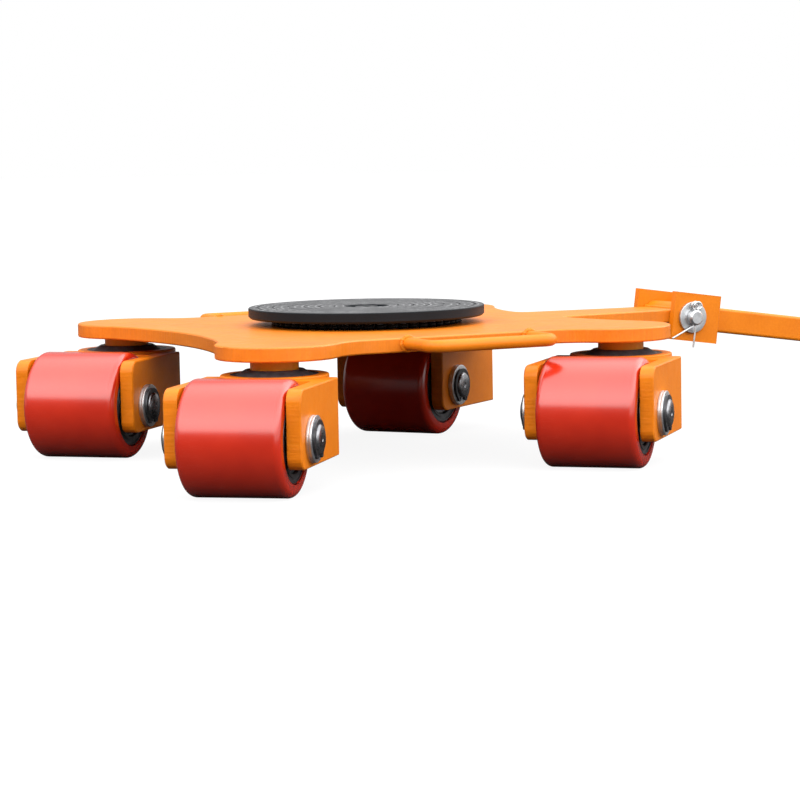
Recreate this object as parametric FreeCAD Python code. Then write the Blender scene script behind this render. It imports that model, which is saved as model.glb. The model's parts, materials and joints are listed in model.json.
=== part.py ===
import FreeCAD, Part
import math
import os

from FreeCAD import Vector

# Steerable machine skate: a steel deck plate on four swivelling roller forks,
# with a ball-race turntable for the load and a hinged drawbar.
# Millimetres and degrees. X points along the drawbar, Y to the left of it, Z up.
# Heights are measured from the floor; the finished pieces are lowered so that
# the origin is the centre of the turntable's top face.

# Clearances
RUNNING_FIT = 0.05
SEAL_CLEARANCE = 0.3
END_PLAY = 0.2
HINGE_SIDE_PLAY = 1.0

# Roller
ROLLER_DIAMETER = 80.0
ROLLER_WIDTH = 73.0
TREAD_EDGE_RADIUS = 6.0
TYRE_THICKNESS = 9.0
CORE_RECESS = 1.0
CORE_BORE = 38.0
CORE_CHAMFER = 1.5

# Roller bearings, axle and what holds it
AXLE_DIAMETER = 20.0
AXLE_OVERHANG = 7.5
AXLE_CHAMFER = 1.5
WHEEL_BEARING_DIAMETER = 47.0
WHEEL_BEARING_WIDTH = 14.0
WHEEL_BEARING_INSET = 2.0
WHEEL_BEARING_RACE = 4.5
WHEEL_BEARING_SEAL_DEPTH = 0.7
SPACER_DIAMETER = 27.0
AXLE_WASHER_DIAMETER = 32.0
AXLE_WASHER_THICKNESS = 2.0
AXLE_WASHERS_PER_SIDE = 2
CIRCLIP_THICKNESS = 1.75
CIRCLIP_DIAMETER = 26.4
CIRCLIP_GROOVE_DEPTH = 0.5
CIRCLIP_LUG_RADIUS = 2.5
CIRCLIP_LUG_HOLE = 1.8
CIRCLIP_OPENING = 34.0

# Roller fork
ROLLER_SIDE_GAP = 1.0
TREAD_GAP = 2.4
CHEEK_THICKNESS = 10.0
CHEEK_BELOW_AXLE = 19.0
CHEEK_ABOVE_AXLE = 35.0
CHEEK_REAR = 7.5
CHEEK_BEYOND_AXLE = 25.5
CHEEK_CORNER_RADIUS = 9.0
BRIDGE_THICKNESS = 15.0
BRIDGE_BEYOND_BOSS = 2.5
WEB_THICKNESS = 8.0
WEB_GAP = 4.5
PAINTED_EDGE = 0.8

# Swivel bearing in the fork's boss
SWIVEL_DIAMETER = 62.0
SWIVEL_BORE = 30.0
SWIVEL_WIDTH = 16.0
SWIVEL_RACE_GAP = 7.0
BOSS_WALL = 7.0
BOSS_ABOVE_CHEEKS = 1.5
BOSS_LIP_HEIGHT = 3.0
BOSS_LIP_WIDTH = 5.0
BOSS_EDGE_RADIUS = 1.0
SEAL_THICKNESS = 1.2
SEAL_HUB_DIAMETER = 42.0
SEAL_SKIRT_DIAMETER = 52.0
SEAL_HUB_HEIGHT = 3.3

# King pins
PIVOT_X = 141.0
PIVOT_Y = 141.0
COLLAR_DIAMETER = 34.0
COLLAR_GAP_TO_DECK = 10.5
KING_THREAD_DIAMETER = 24.0
KING_SHANK_STEP = 0.5
KING_WASHER_DIAMETER = 44.0
KING_WASHER_THICKNESS = 4.0
KING_NUT_ACROSS_FLATS = 36.0
KING_NUT_HEIGHT = 14.0
KING_THREAD_PAST_NUT = 3.0

# Deck plate
DECK_THICKNESS = 10.5
LOBE_RADIUS = 44.0
LOBE_INSET = 5.0
SIDE_EDGE_Y = 152.0
SIDE_BLEND_RADIUS = 40.0
REAR_EDGE_X = 150.0
REAR_EDGE_RADIUS = 320.0
REAR_CORNER_RADIUS = 20.0
FRONT_EDGE_X = 152.0
TONGUE_ROOT_WIDTH = 62.0
TONGUE_END_WIDTH = 48.0
TONGUE_PARALLEL_LENGTH = 37.0
TONGUE_CORNER_RADIUS = 10.0
DECK_EDGE_RADIUS = 1.2

# Carry handles
HANDLE_ROD_DIAMETER = 9.0
HANDLE_SPAN = 99.0
HANDLE_REACH = 38.0
HANDLE_BEND_RADIUS = 9.0
HANDLE_STAGGER = 7.0
HANDLE_ABOVE_MID_PLATE = 1.0

# Turntable
TURNTABLE_DIAMETER = 180.0
TURNTABLE_THICKNESS = 8.0
TURNTABLE_GAP = 5.5
TURNTABLE_CHAMFER = 1.5
TURNTABLE_TOP_CHAMFER = 0.5
GRIP_GROOVE_COUNT = 6
GRIP_GROOVE_WIDTH = 1.4
GRIP_GROOVE_DEPTH = 0.6
GRIP_GROOVE_MARGIN = 7.0
RACE_DIAMETER = 137.0
BALL_DIAMETER = 7.5
BALL_COUNT = 50
BALL_CLEARANCE = 0.15
CAGE_HEIGHT = 4.0
CAGE_INSIDE_RACE = 6.0
CAGE_OUTSIDE_RACE = 1.0
CENTRE_RECESS_DIAMETER = 35.0
CENTRE_RECESS_DEPTH = 5.0
PIVOT_PIN_DIAMETER = 24.0
KEEPER_DIAMETER = 32.0
KEEPER_THICKNESS = 2.5
KEEPER_SCREW_HEAD_DIAMETER = 17.0
KEEPER_SCREW_HEAD_HEIGHT = 1.8
KEEPER_SCREW_DIAMETER = 10.0
KEEPER_SCREW_LENGTH = 14.0
KEEPER_SCREW_KEY = 6.0
KEEPER_SCREW_KEY_DEPTH = 1.2

# Tow eye, clevis and drawbar
TOW_PIN_X = 275.0
TOW_PIN_BELOW_MID_PLATE = 1.25
TOW_TUBE_DIAMETER = 22.0
TOW_PIN_DIAMETER = 12.0
CLEVIS_WALL = 6.0
CLEVIS_WEB = 7.0
CLEVIS_HEIGHT = 38.5
CLEVIS_AHEAD_OF_PIN = 17.0
CLEVIS_BEHIND_PIN = 27.5
TOW_WASHER_DIAMETER = 25.0
TOW_WASHER_THICKNESS = 2.5
TOW_PIN_PAST_WASHER = 6.0
TOW_PIN_HEAD_DIAMETER = 18.0
TOW_PIN_HEAD_HEIGHT = 5.0
TOW_PIN_CHAMFER = 1.2
SPLIT_PIN_WIRE = 2.0
SPLIT_PIN_STEM = 2.4
SPLIT_PIN_LEG = 1.6
SPLIT_PIN_HOLE = 3.4
SPLIT_PIN_EYE_DIAMETER = 8.0
SPLIT_PIN_STRAIGHT_LEG = 23.0
SPLIT_PIN_BENT_LEG = 22.0
SPLIT_PIN_BEND = 58.0
DRAWBAR_LENGTH = 590.0
DRAWBAR_WIDTH = 20.0
DRAWBAR_EDGE_RADIUS = 2.5
GRIP_DIAMETER = 22.0
GRIP_LENGTH = 150.0
GRIP_WALL = 2.5
GRIP_CAP_DEPTH = 12.0
GRIP_CAP_CROWN = 3.0
GRIP_CAP_EDGE = 1.0
GRIP_CAP_CROWN_DIAMETER = 17.6

# Which way each fork trails, as an angle from the X axis, with the signs of its
# king pin's X and Y place
CASTERS = {
    "rear_right": (-1, -1, -130.5),
    "rear_left": (-1, 1, -134.0),
    "front_left": (1, 1, -143.5),
    "front_right": (1, -1, -134.5),
}

# Heights and lengths that follow from the values above
axle_height = ROLLER_DIAMETER / 2
fork_gap = ROLLER_WIDTH + 2 * ROLLER_SIDE_GAP
fork_width = fork_gap + 2 * CHEEK_THICKNESS
cheek_bottom = axle_height - CHEEK_BELOW_AXLE
cheek_top = axle_height + CHEEK_ABOVE_AXLE
boss_radius = SWIVEL_DIAMETER / 2 + BOSS_WALL
boss_top = cheek_top + BOSS_ABOVE_CHEEKS
swivel_top = boss_top - SEAL_THICKNESS
swivel_bottom = swivel_top - SWIVEL_WIDTH
boss_bottom = swivel_bottom - BOSS_LIP_HEIGHT
bridge_bottom = cheek_top - BRIDGE_THICKNESS
bridge_front = boss_radius + BRIDGE_BEYOND_BOSS
tread_at_bridge = math.sqrt(axle_height ** 2 - (bridge_bottom - axle_height) ** 2)
trail = bridge_front + TREAD_GAP + tread_at_bridge
cheek_front = trail + CHEEK_BEYOND_AXLE
web_front = trail - axle_height - WEB_GAP

deck_bottom = boss_top + COLLAR_GAP_TO_DECK
deck_top = deck_bottom + DECK_THICKNESS
deck_middle = (deck_bottom + deck_top) / 2
turntable_bottom = deck_top + TURNTABLE_GAP
turntable_top = turntable_bottom + TURNTABLE_THICKNESS
overall_height = turntable_top
race_height = deck_top + TURNTABLE_GAP / 2
recess_floor = turntable_top - CENTRE_RECESS_DEPTH
pivot_pin_top = recess_floor + END_PLAY

tow_height = deck_middle - TOW_PIN_BELOW_MID_PLATE
clevis_gap = TONGUE_END_WIDTH + 2 * HINGE_SIDE_PLAY
clevis_width = clevis_gap + 2 * CLEVIS_WALL
tow_washer_outside = clevis_width / 2 + TOW_WASHER_THICKNESS
droop = math.degrees(math.asin((tow_height - GRIP_DIAMETER / 2) / DRAWBAR_LENGTH))


# Basic solids

def cylinder(radius, bottom, top):
    """An upright cylinder on the Z axis."""
    return Part.makeCylinder(radius, top - bottom, Vector(0, 0, bottom))


def ring(outer_radius, inner_radius, bottom, top):
    """An upright ring on the Z axis."""
    return cylinder(outer_radius, bottom, top).cut(cylinder(inner_radius, bottom, top))


def cross_cylinder(radius, start, end):
    """A cylinder on the Y axis."""
    return Part.makeCylinder(radius, end - start, Vector(0, start, 0), Vector(0, 1, 0))


def cross_ring(outer_radius, inner_radius, start, end):
    """A ring on the Y axis."""
    return cross_cylinder(outer_radius, start, end).cut(cross_cylinder(inner_radius, start, end))


def block(x_range, y_range, z_range):
    """A box between the given pairs of limits."""
    return Part.makeBox(
        x_range[1] - x_range[0],
        y_range[1] - y_range[0],
        z_range[1] - z_range[0],
        Vector(x_range[0], y_range[0], z_range[0]),
    )


def turned(profile):
    """The solid that a closed outline of (radius, height) points sweeps about the Z axis."""
    points = [Vector(radius, 0, height) for radius, height in profile]
    face = Part.Face(Part.makePolygon(points + points[:1]))
    return face.revolve(Vector(0, 0, 0), Vector(0, 0, 1), 360)


def cross_turned(profile):
    """As turned, but about the Y axis, from (radius, place along Y) points."""
    return turned(profile).rotated(Vector(0, 0, 0), Vector(1, 0, 0), -90)


def rims(shape, radius):
    """The circular edges of the given radius."""
    found = []
    for edge in shape.Edges:
        if isinstance(edge.Curve, Part.Circle) and abs(edge.Curve.Radius - radius) < 1e-6:
            found.append(edge)
    return found


def mirrored_pair(shape):
    """A piece and its mirror image on the other side of the XZ plane."""
    return [shape, shape.mirror(Vector(0, 0, 0), Vector(0, 1, 0))]


def group(shapes):
    """Separate solids that share one node."""
    return Part.makeCompound(shapes)


def save(name, shape):
    """Lower a finished piece so that the turntable's top face is at Z = 0, and write it."""
    shape.translated(Vector(0, 0, -overall_height)).exportStep(f"parts/{name}.step")


# Deck plate

def toward(centre, radius, target):
    """The point of a circle that lies toward another point."""
    direction = target - centre
    return centre + direction * (radius / direction.Length)


def meeting_point(centre, radius, other_centre, other_radius):
    """The point where two circles on the same level meet, on the side nearer the X axis."""
    across = other_centre - centre
    along = (radius ** 2 - other_radius ** 2 + across.Length ** 2) / (2 * across.Length)
    aside = math.sqrt(radius ** 2 - along ** 2)
    direction = across / across.Length
    found = []
    for sign in (-1, 1):
        found.append(centre + direction * along + Vector(-direction.y, direction.x, 0) * (sign * aside))
    return min(found, key=lambda point: abs(point.y))


def arc(start, through, end):
    return Part.Arc(start, through, end).toShape()


def flipped(point):
    return Vector(point.x, -point.y, point.z)


def deck_outline():
    """Four round lobes joined by hollow edges, with a tongue towards the drawbar."""
    lobe_x = PIVOT_X - LOBE_INSET
    lobe_y = PIVOT_Y - LOBE_INSET
    rear_lobe = Vector(-lobe_x, lobe_y, 0)
    front_lobe = Vector(lobe_x, lobe_y, 0)

    # The hollow rear edge is one arc that meets both rear lobes in rounded corners
    rear_centre = Vector(-REAR_EDGE_X - REAR_EDGE_RADIUS, 0, 0)
    rear_corner = meeting_point(rear_lobe, LOBE_RADIUS, rear_centre, REAR_EDGE_RADIUS)

    # Each side edge is straight, and a hollow blend joins it to its lobes
    blend_rise = SIDE_EDGE_Y + SIDE_BLEND_RADIUS - lobe_y
    blend_run = math.sqrt((LOBE_RADIUS + SIDE_BLEND_RADIUS) ** 2 - blend_rise ** 2)
    blend = Vector(blend_run - lobe_x, SIDE_EDGE_Y + SIDE_BLEND_RADIUS, 0)
    blend_touch = toward(rear_lobe, LOBE_RADIUS, blend)
    blend_end = Vector(blend.x, SIDE_EDGE_Y, 0)
    blend_middle = toward(blend, SIDE_BLEND_RADIUS, (blend_touch + blend_end) * 0.5)

    # The hollow front edge starts square to X beside the tongue
    tongue_root = TONGUE_ROOT_WIDTH / 2
    tongue_end = TONGUE_END_WIDTH / 2
    front_offset = FRONT_EDGE_X - lobe_x
    front_rise = lobe_y - tongue_root
    front_reach = front_offset ** 2 + front_rise ** 2 - LOBE_RADIUS ** 2
    front_radius = front_reach / (2 * (LOBE_RADIUS - front_offset))
    front_centre = Vector(FRONT_EDGE_X + front_radius, tongue_root, 0)
    front_touch = toward(front_lobe, LOBE_RADIUS, front_centre)
    front_start = Vector(FRONT_EDGE_X, tongue_root, 0)
    front_middle = toward(front_centre, front_radius, (front_touch + front_start) * 0.5)

    tongue_tip = TOW_PIN_X - TOW_TUBE_DIAMETER / 4
    tongue_shoulder = TOW_PIN_X - TONGUE_PARALLEL_LENGTH

    def mirrored_x(point):
        return Vector(-point.x, point.y, point.z)

    outward = Vector(1, 1, 0) * (LOBE_RADIUS / math.sqrt(2))
    half = [
        (rear_corner, rear_lobe + mirrored_x(outward), blend_touch),
        (blend_touch, blend_middle, blend_end),
        (blend_end, mirrored_x(blend_end)),
        (mirrored_x(blend_end), mirrored_x(blend_middle), mirrored_x(blend_touch)),
        (mirrored_x(blend_touch), front_lobe + outward, front_touch),
        (front_touch, front_middle, front_start),
        (front_start, Vector(tongue_shoulder, tongue_end, 0)),
        (Vector(tongue_shoulder, tongue_end, 0), Vector(tongue_tip, tongue_end, 0)),
    ]
    edges = [arc(flipped(rear_corner), Vector(-REAR_EDGE_X, 0, 0), rear_corner)]
    edges.append(Part.makeLine(Vector(tongue_tip, tongue_end, 0), Vector(tongue_tip, -tongue_end, 0)))
    for stretch in half:
        for points in (stretch, [flipped(point) for point in stretch]):
            if len(points) == 3:
                edges.append(arc(*points))
            else:
                edges.append(Part.makeLine(*points))
    return Part.Wire(Part.__sortEdges__(edges)), rear_corner, front_start


def upright_edges(plate, corner):
    """The plate's upright edge at a corner of its outline, and the one mirrored from it."""
    found = []
    for edge in plate.Edges:
        middle = edge.CenterOfMass
        if abs(middle.x - corner.x) < 1e-3 and abs(abs(middle.y) - abs(corner.y)) < 1e-3:
            found.append(edge)
    return found


def deck_plate():
    """The plate, with its ball groove, the turntable pin's hole and the coped tongue."""
    outline, rear_corner, tongue_corner = deck_outline()
    plate = Part.Face(outline).extrude(Vector(0, 0, DECK_THICKNESS))
    plate = plate.makeFillet(TONGUE_CORNER_RADIUS, upright_edges(plate, tongue_corner))
    plate = plate.makeFillet(REAR_CORNER_RADIUS, upright_edges(plate, rear_corner))
    outer_edges = [edge for edge in plate.Edges if abs(edge.BoundBox.ZLength) < 1e-6]
    plate = plate.makeFillet(DECK_EDGE_RADIUS, outer_edges)
    plate = plate.translated(Vector(0, 0, deck_bottom))
    plate = plate.cut(ball_groove())
    plate = plate.cut(cylinder(PIVOT_PIN_DIAMETER / 2, deck_bottom, deck_top))
    tube_seat = cross_cylinder(TOW_TUBE_DIAMETER / 2, -clevis_width, clevis_width)
    return plate.cut(tube_seat.translated(Vector(TOW_PIN_X, 0, tow_height)))


def ball_groove():
    """The bevelled groove that the turntable's balls run in, in the plate and in the disc."""
    reach = BALL_DIAMETER / 2 + BALL_CLEARANCE
    flat = reach * math.tan(math.radians(22.5))
    middle = RACE_DIAMETER / 2
    return turned([
        (middle - flat, race_height - reach),
        (middle + flat, race_height - reach),
        (middle + reach, race_height - flat),
        (middle + reach, race_height + flat),
        (middle + flat, race_height + reach),
        (middle - flat, race_height + reach),
        (middle - reach, race_height + flat),
        (middle - reach, race_height - flat),
    ])


def carry_handle():
    """A round rod bent into a D, with its two ends against the plate's left edge, a little to the rear."""
    half_span = HANDLE_SPAN / 2
    bar_y = SIDE_EDGE_Y + HANDLE_REACH
    height = deck_middle + HANDLE_ABOVE_MID_PLATE
    bend = HANDLE_BEND_RADIUS
    cut_in = bend * (1 - math.sqrt(0.5))
    start = Vector(-half_span, SIDE_EDGE_Y, height)
    first = [
        Vector(-half_span, bar_y - bend, height),
        Vector(-half_span + cut_in, bar_y - cut_in, height),
        Vector(-half_span + bend, bar_y, height),
    ]
    second = [Vector(-point.x, point.y, point.z) for point in reversed(first)]
    end = Vector(half_span, SIDE_EDGE_Y, height)
    path = Part.Wire([
        Part.makeLine(start, first[0]),
        arc(*first),
        Part.makeLine(first[2], second[0]),
        arc(*second),
        Part.makeLine(second[2], end),
    ])
    section = Part.Wire(Part.makeCircle(HANDLE_ROD_DIAMETER / 2, start, Vector(0, 1, 0)))
    handle = path.makePipeShell([section], True, False)
    return handle.translated(Vector(-HANDLE_STAGGER, 0, 0))


# Turntable

def turntable_disc():
    """The black disc: grooved top, chamfered rim, centre recess and a ball groove below."""
    radius = TURNTABLE_DIAMETER / 2
    chamfer = TURNTABLE_CHAMFER
    disc = turned([
        (0, turntable_bottom),
        (radius - chamfer, turntable_bottom),
        (radius, turntable_bottom + chamfer),
        (radius, turntable_top - TURNTABLE_TOP_CHAMFER),
        (radius - TURNTABLE_TOP_CHAMFER, turntable_top),
        (0, turntable_top),
    ])
    disc = disc.cut(cylinder(CENTRE_RECESS_DIAMETER / 2, recess_floor, turntable_top))
    disc = disc.cut(cylinder(PIVOT_PIN_DIAMETER / 2 + RUNNING_FIT, turntable_bottom, turntable_top))
    disc = disc.cut(ball_groove())
    first = CENTRE_RECESS_DIAMETER / 2 + GRIP_GROOVE_MARGIN
    pitch = (radius - GRIP_GROOVE_MARGIN - first) / (GRIP_GROOVE_COUNT - 1)
    for index in range(GRIP_GROOVE_COUNT):
        middle = first + index * pitch
        groove = ring(
            middle + GRIP_GROOVE_WIDTH / 2,
            middle - GRIP_GROOVE_WIDTH / 2,
            turntable_top - GRIP_GROOVE_DEPTH,
            turntable_top,
        )
        disc = disc.cut(groove)
    return disc


def ball_cage():
    """The ring that spaces the balls; each ball shows as a round scallop on its rim."""
    bottom = race_height - CAGE_HEIGHT / 2
    top = race_height + CAGE_HEIGHT / 2
    middle = RACE_DIAMETER / 2
    cage = ring(middle + CAGE_OUTSIDE_RACE, middle - CAGE_INSIDE_RACE, bottom, top)
    scallops = []
    for index in range(BALL_COUNT):
        scallop = cylinder(BALL_DIAMETER / 2, bottom, top)
        scallop = scallop.translated(Vector(middle, 0, 0))
        scallops.append(scallop.rotated(Vector(0, 0, 0), Vector(0, 0, 1), index * 360 / BALL_COUNT))
    return cage.fuse(scallops).removeSplitter()


def hexagon_corner(across_flats):
    """The distance from a hexagon's centre to its corners."""
    return across_flats / 2 / math.cos(math.radians(30))


def hexagon(across_flats, bottom, top):
    """An upright six-sided bar on the Z axis."""
    corner = hexagon_corner(across_flats)
    points = []
    for index in range(7):
        angle = math.radians(60 * index)
        points.append(Vector(corner * math.cos(angle), corner * math.sin(angle), bottom))
    return Part.Face(Part.makePolygon(points)).extrude(Vector(0, 0, top - bottom))


def pivot_pin():
    """The pin that the disc turns on, set in the plate, with a threaded hole for the keeper."""
    pin = cylinder(PIVOT_PIN_DIAMETER / 2, deck_bottom, pivot_pin_top)
    hole = cylinder(KEEPER_SCREW_DIAMETER / 2, pivot_pin_top - KEEPER_SCREW_LENGTH, pivot_pin_top)
    return pin.cut(hole)


def keeper():
    """The washer that holds the disc down."""
    bottom = pivot_pin_top
    return ring(KEEPER_DIAMETER / 2, KEEPER_SCREW_DIAMETER / 2, bottom, bottom + KEEPER_THICKNESS)


def keeper_screw():
    """A low-headed socket screw."""
    seat = pivot_pin_top + KEEPER_THICKNESS
    head_top = seat + KEEPER_SCREW_HEAD_HEIGHT
    head = cylinder(KEEPER_SCREW_HEAD_DIAMETER / 2, seat, head_top)
    shank = cylinder(KEEPER_SCREW_DIAMETER / 2, pivot_pin_top - KEEPER_SCREW_LENGTH, seat)
    return head.fuse(shank).cut(hexagon(KEEPER_SCREW_KEY, head_top - KEEPER_SCREW_KEY_DEPTH, head_top))


# King pins, which stay with the deck

def king_pin():
    """Collar under the plate, shank for the swivel bearing, and a threaded end."""
    shank_bottom = swivel_bottom + KING_SHANK_STEP
    thread_bottom = swivel_bottom - KING_WASHER_THICKNESS - KING_NUT_HEIGHT - KING_THREAD_PAST_NUT
    return turned([
        (0, deck_bottom),
        (COLLAR_DIAMETER / 2, deck_bottom),
        (COLLAR_DIAMETER / 2, swivel_top),
        (SWIVEL_BORE / 2, swivel_top),
        (SWIVEL_BORE / 2, shank_bottom),
        (KING_THREAD_DIAMETER / 2, shank_bottom),
        (KING_THREAD_DIAMETER / 2, thread_bottom + AXLE_CHAMFER),
        (KING_THREAD_DIAMETER / 2 - AXLE_CHAMFER, thread_bottom),
        (0, thread_bottom),
    ])


def swivel_inner_race():
    """The race on the king pin; the gap to the outer race is midway between bore and boss."""
    radius = (SWIVEL_BORE + SWIVEL_DIAMETER) / 4 - SWIVEL_RACE_GAP / 2
    return ring(radius, SWIVEL_BORE / 2, swivel_bottom, swivel_top)


def swivel_outer_race():
    """The race in the fork's boss."""
    radius = (SWIVEL_BORE + SWIVEL_DIAMETER) / 4 + SWIVEL_RACE_GAP / 2
    return ring(SWIVEL_DIAMETER / 2, radius, swivel_bottom, swivel_top)


def king_washer():
    top = swivel_bottom
    return ring(KING_WASHER_DIAMETER / 2, KING_THREAD_DIAMETER / 2, top - KING_WASHER_THICKNESS, top)


def king_nut():
    """A hexagon nut with its corners turned down."""
    top = swivel_bottom - KING_WASHER_THICKNESS
    bottom = top - KING_NUT_HEIGHT
    corner = hexagon_corner(KING_NUT_ACROSS_FLATS)
    drop = (corner - KING_NUT_ACROSS_FLATS / 2) * math.tan(math.radians(30))
    turned_blank = turned([
        (0, bottom),
        (KING_NUT_ACROSS_FLATS / 2, bottom),
        (corner, bottom + drop),
        (corner, top),
        (0, top),
    ])
    nut = hexagon(KING_NUT_ACROSS_FLATS, bottom, top).common(turned_blank)
    return nut.cut(cylinder(KING_THREAD_DIAMETER / 2, bottom, top))


def at_every_pivot(shape):
    """One copy of a king pin's piece under each lobe."""
    copies = []
    for x_sign, y_sign, _ in CASTERS.values():
        copies.append(shape.translated(Vector(x_sign * PIVOT_X, y_sign * PIVOT_Y, 0)))
    return group(copies)


# Roller fork, with the king pin on the Z axis and the roller towards +X

def fork():
    """Two cheeks, the bridge and web between them, and the boss for the swivel bearing."""
    cheek = block(
        (CHEEK_REAR, cheek_front),
        (fork_gap / 2, fork_width / 2),
        (cheek_bottom, cheek_top),
    )
    front_edges = []
    for edge in cheek.Edges:
        middle = edge.CenterOfMass
        if abs(middle.x - cheek_front) < 1e-6 and edge.BoundBox.YLength > CHEEK_THICKNESS / 2:
            front_edges.append(edge)
    cheek = cheek.makeFillet(CHEEK_CORNER_RADIUS, front_edges)
    outer_face_edges = []
    for edge in cheek.Edges:
        if abs(edge.CenterOfMass.y - fork_width / 2) < 1e-6:
            outer_face_edges.append(edge)
    cheek = cheek.makeChamfer(PAINTED_EDGE, outer_face_edges)
    bridge = block(
        (CHEEK_REAR, bridge_front),
        (-fork_gap / 2, fork_gap / 2),
        (bridge_bottom, cheek_top),
    )
    web = block(
        (web_front - WEB_THICKNESS, web_front),
        (-fork_gap / 2, fork_gap / 2),
        (cheek_bottom, bridge_bottom),
    )
    boss = cylinder(boss_radius, boss_bottom, boss_top)
    upper_rim = [edge for edge in rims(boss, boss_radius) if edge.CenterOfMass.z > swivel_top]
    boss = boss.makeFillet(BOSS_EDGE_RADIUS, upper_rim)
    body = boss.fuse(mirrored_pair(cheek) + [bridge, web])
    body = body.cut(cylinder(SWIVEL_DIAMETER / 2, swivel_bottom, boss_top))
    body = body.cut(cylinder(SWIVEL_DIAMETER / 2 - BOSS_LIP_WIDTH, boss_bottom, boss_top))
    axle_hole = cross_cylinder(AXLE_DIAMETER / 2, -fork_width / 2, fork_width / 2)
    return body.cut(axle_hole.translated(axle_place())).removeSplitter()


def axle_place():
    return Vector(trail, 0, axle_height)


def swivel_seal():
    """The black dust seal in the boss, with a raised hub round the king pin's collar."""
    bottom = swivel_top
    bore = COLLAR_DIAMETER / 2 + SEAL_CLEARANCE
    return turned([
        (bore, bottom),
        (SWIVEL_DIAMETER / 2, bottom),
        (SWIVEL_DIAMETER / 2, boss_top),
        (SEAL_SKIRT_DIAMETER / 2, boss_top),
        (SEAL_HUB_DIAMETER / 2, boss_top + SEAL_HUB_HEIGHT),
        (bore, boss_top + SEAL_HUB_HEIGHT),
    ])


def axle():
    """A plain shaft with chamfered ends and a groove for each circlip."""
    half = fork_width / 2 + AXLE_OVERHANG
    radius = AXLE_DIAMETER / 2
    shaft = cross_turned([
        (0, -half),
        (radius - AXLE_CHAMFER, -half),
        (radius, -half + AXLE_CHAMFER),
        (radius, half - AXLE_CHAMFER),
        (radius - AXLE_CHAMFER, half),
        (0, half),
    ])
    start, end = circlip_limits()
    groove = cross_ring(CIRCLIP_DIAMETER / 2, radius - CIRCLIP_GROOVE_DEPTH, start, end)
    return shaft.cut(mirrored_pair(groove))


def circlip_limits():
    """Where a circlip's groove starts and ends along the axle."""
    start = fork_width / 2 + AXLE_WASHERS_PER_SIDE * AXLE_WASHER_THICKNESS
    return start, start + CIRCLIP_THICKNESS


def axle_washers():
    washers = []
    for index in range(AXLE_WASHERS_PER_SIDE):
        start = fork_width / 2 + index * AXLE_WASHER_THICKNESS
        end = start + AXLE_WASHER_THICKNESS
        washer = cross_ring(AXLE_WASHER_DIAMETER / 2, AXLE_DIAMETER / 2, start, end)
        washers += mirrored_pair(washer)
    return group(washers)


def axle_circlips():
    """Outside circlips: an open ring with an eyed lug at each side of its opening."""
    start, end = circlip_limits()
    radius = CIRCLIP_DIAMETER / 2
    inner = AXLE_DIAMETER / 2 - CIRCLIP_GROOVE_DEPTH
    clip = cross_ring(radius, inner, start, end)
    reach = 2 * radius
    half_angle = math.radians(CIRCLIP_OPENING / 2)
    wedge_points = [
        Vector(0, start, 0),
        Vector(-reach * math.sin(half_angle), start, -reach * math.cos(half_angle)),
        Vector(reach * math.sin(half_angle), start, -reach * math.cos(half_angle)),
    ]
    wedge = Part.Face(Part.makePolygon(wedge_points + wedge_points[:1]))
    clip = clip.cut(wedge.extrude(Vector(0, end - start, 0)))
    lug_angle = half_angle + CIRCLIP_LUG_RADIUS / radius
    lug_circle = radius - CIRCLIP_LUG_RADIUS / 2
    for side in (-1, 1):
        place = Vector(side * lug_circle * math.sin(lug_angle), 0, -lug_circle * math.cos(lug_angle))
        clip = clip.fuse(cross_cylinder(CIRCLIP_LUG_RADIUS, start, end).translated(place))
        clip = clip.cut(cross_cylinder(CIRCLIP_LUG_HOLE / 2, start, end).translated(place))
    clip = clip.cut(cross_cylinder(inner, start, end))
    return group(mirrored_pair(clip.removeSplitter()))


def wheel_bearing_limits():
    """Where the outer bearing starts and ends along the axle."""
    end = ROLLER_WIDTH / 2 - CORE_RECESS - WHEEL_BEARING_INSET
    return end - WHEEL_BEARING_WIDTH, end


def axle_spacers():
    """The tube between the two bearings, and a short bush between each bearing and its cheek."""
    start, end = wheel_bearing_limits()
    bore = AXLE_DIAMETER / 2 + RUNNING_FIT
    radius = SPACER_DIAMETER / 2
    tube = cross_ring(radius, bore, END_PLAY - start, start - END_PLAY)
    bush = cross_ring(radius, bore, end + END_PLAY, fork_gap / 2)
    return group([tube] + mirrored_pair(bush))


def wheel_bearings():
    """Sealed ball bearings, with a shallow ring where each seal sits."""
    start, end = wheel_bearing_limits()
    bore = AXLE_DIAMETER / 2 + RUNNING_FIT
    outer = WHEEL_BEARING_DIAMETER / 2
    bearing = cross_ring(outer, bore, start, end)
    seal_start = end - WHEEL_BEARING_SEAL_DEPTH
    bearing = bearing.cut(cross_ring(outer - WHEEL_BEARING_RACE, bore + WHEEL_BEARING_RACE, seal_start, end))
    return group(mirrored_pair(bearing))


def roller_core():
    """The steel hub, bored for a bearing at each end."""
    half = ROLLER_WIDTH / 2 - CORE_RECESS
    radius = ROLLER_DIAMETER / 2 - TYRE_THICKNESS
    start, _ = wheel_bearing_limits()
    core = cross_turned([
        (CORE_BORE / 2, -start),
        (WHEEL_BEARING_DIAMETER / 2, -start),
        (WHEEL_BEARING_DIAMETER / 2, -half),
        (radius - CORE_CHAMFER, -half),
        (radius, -half + CORE_CHAMFER),
        (radius, half - CORE_CHAMFER),
        (radius - CORE_CHAMFER, half),
        (WHEEL_BEARING_DIAMETER / 2, half),
        (WHEEL_BEARING_DIAMETER / 2, start),
        (CORE_BORE / 2, start),
    ])
    return core


def roller_tyre():
    """The polyurethane tread with its rounded shoulders."""
    radius = ROLLER_DIAMETER / 2
    tyre = cross_ring(radius, radius - TYRE_THICKNESS, -ROLLER_WIDTH / 2, ROLLER_WIDTH / 2)
    return tyre.makeFillet(TREAD_EDGE_RADIUS, rims(tyre, radius))


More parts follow.
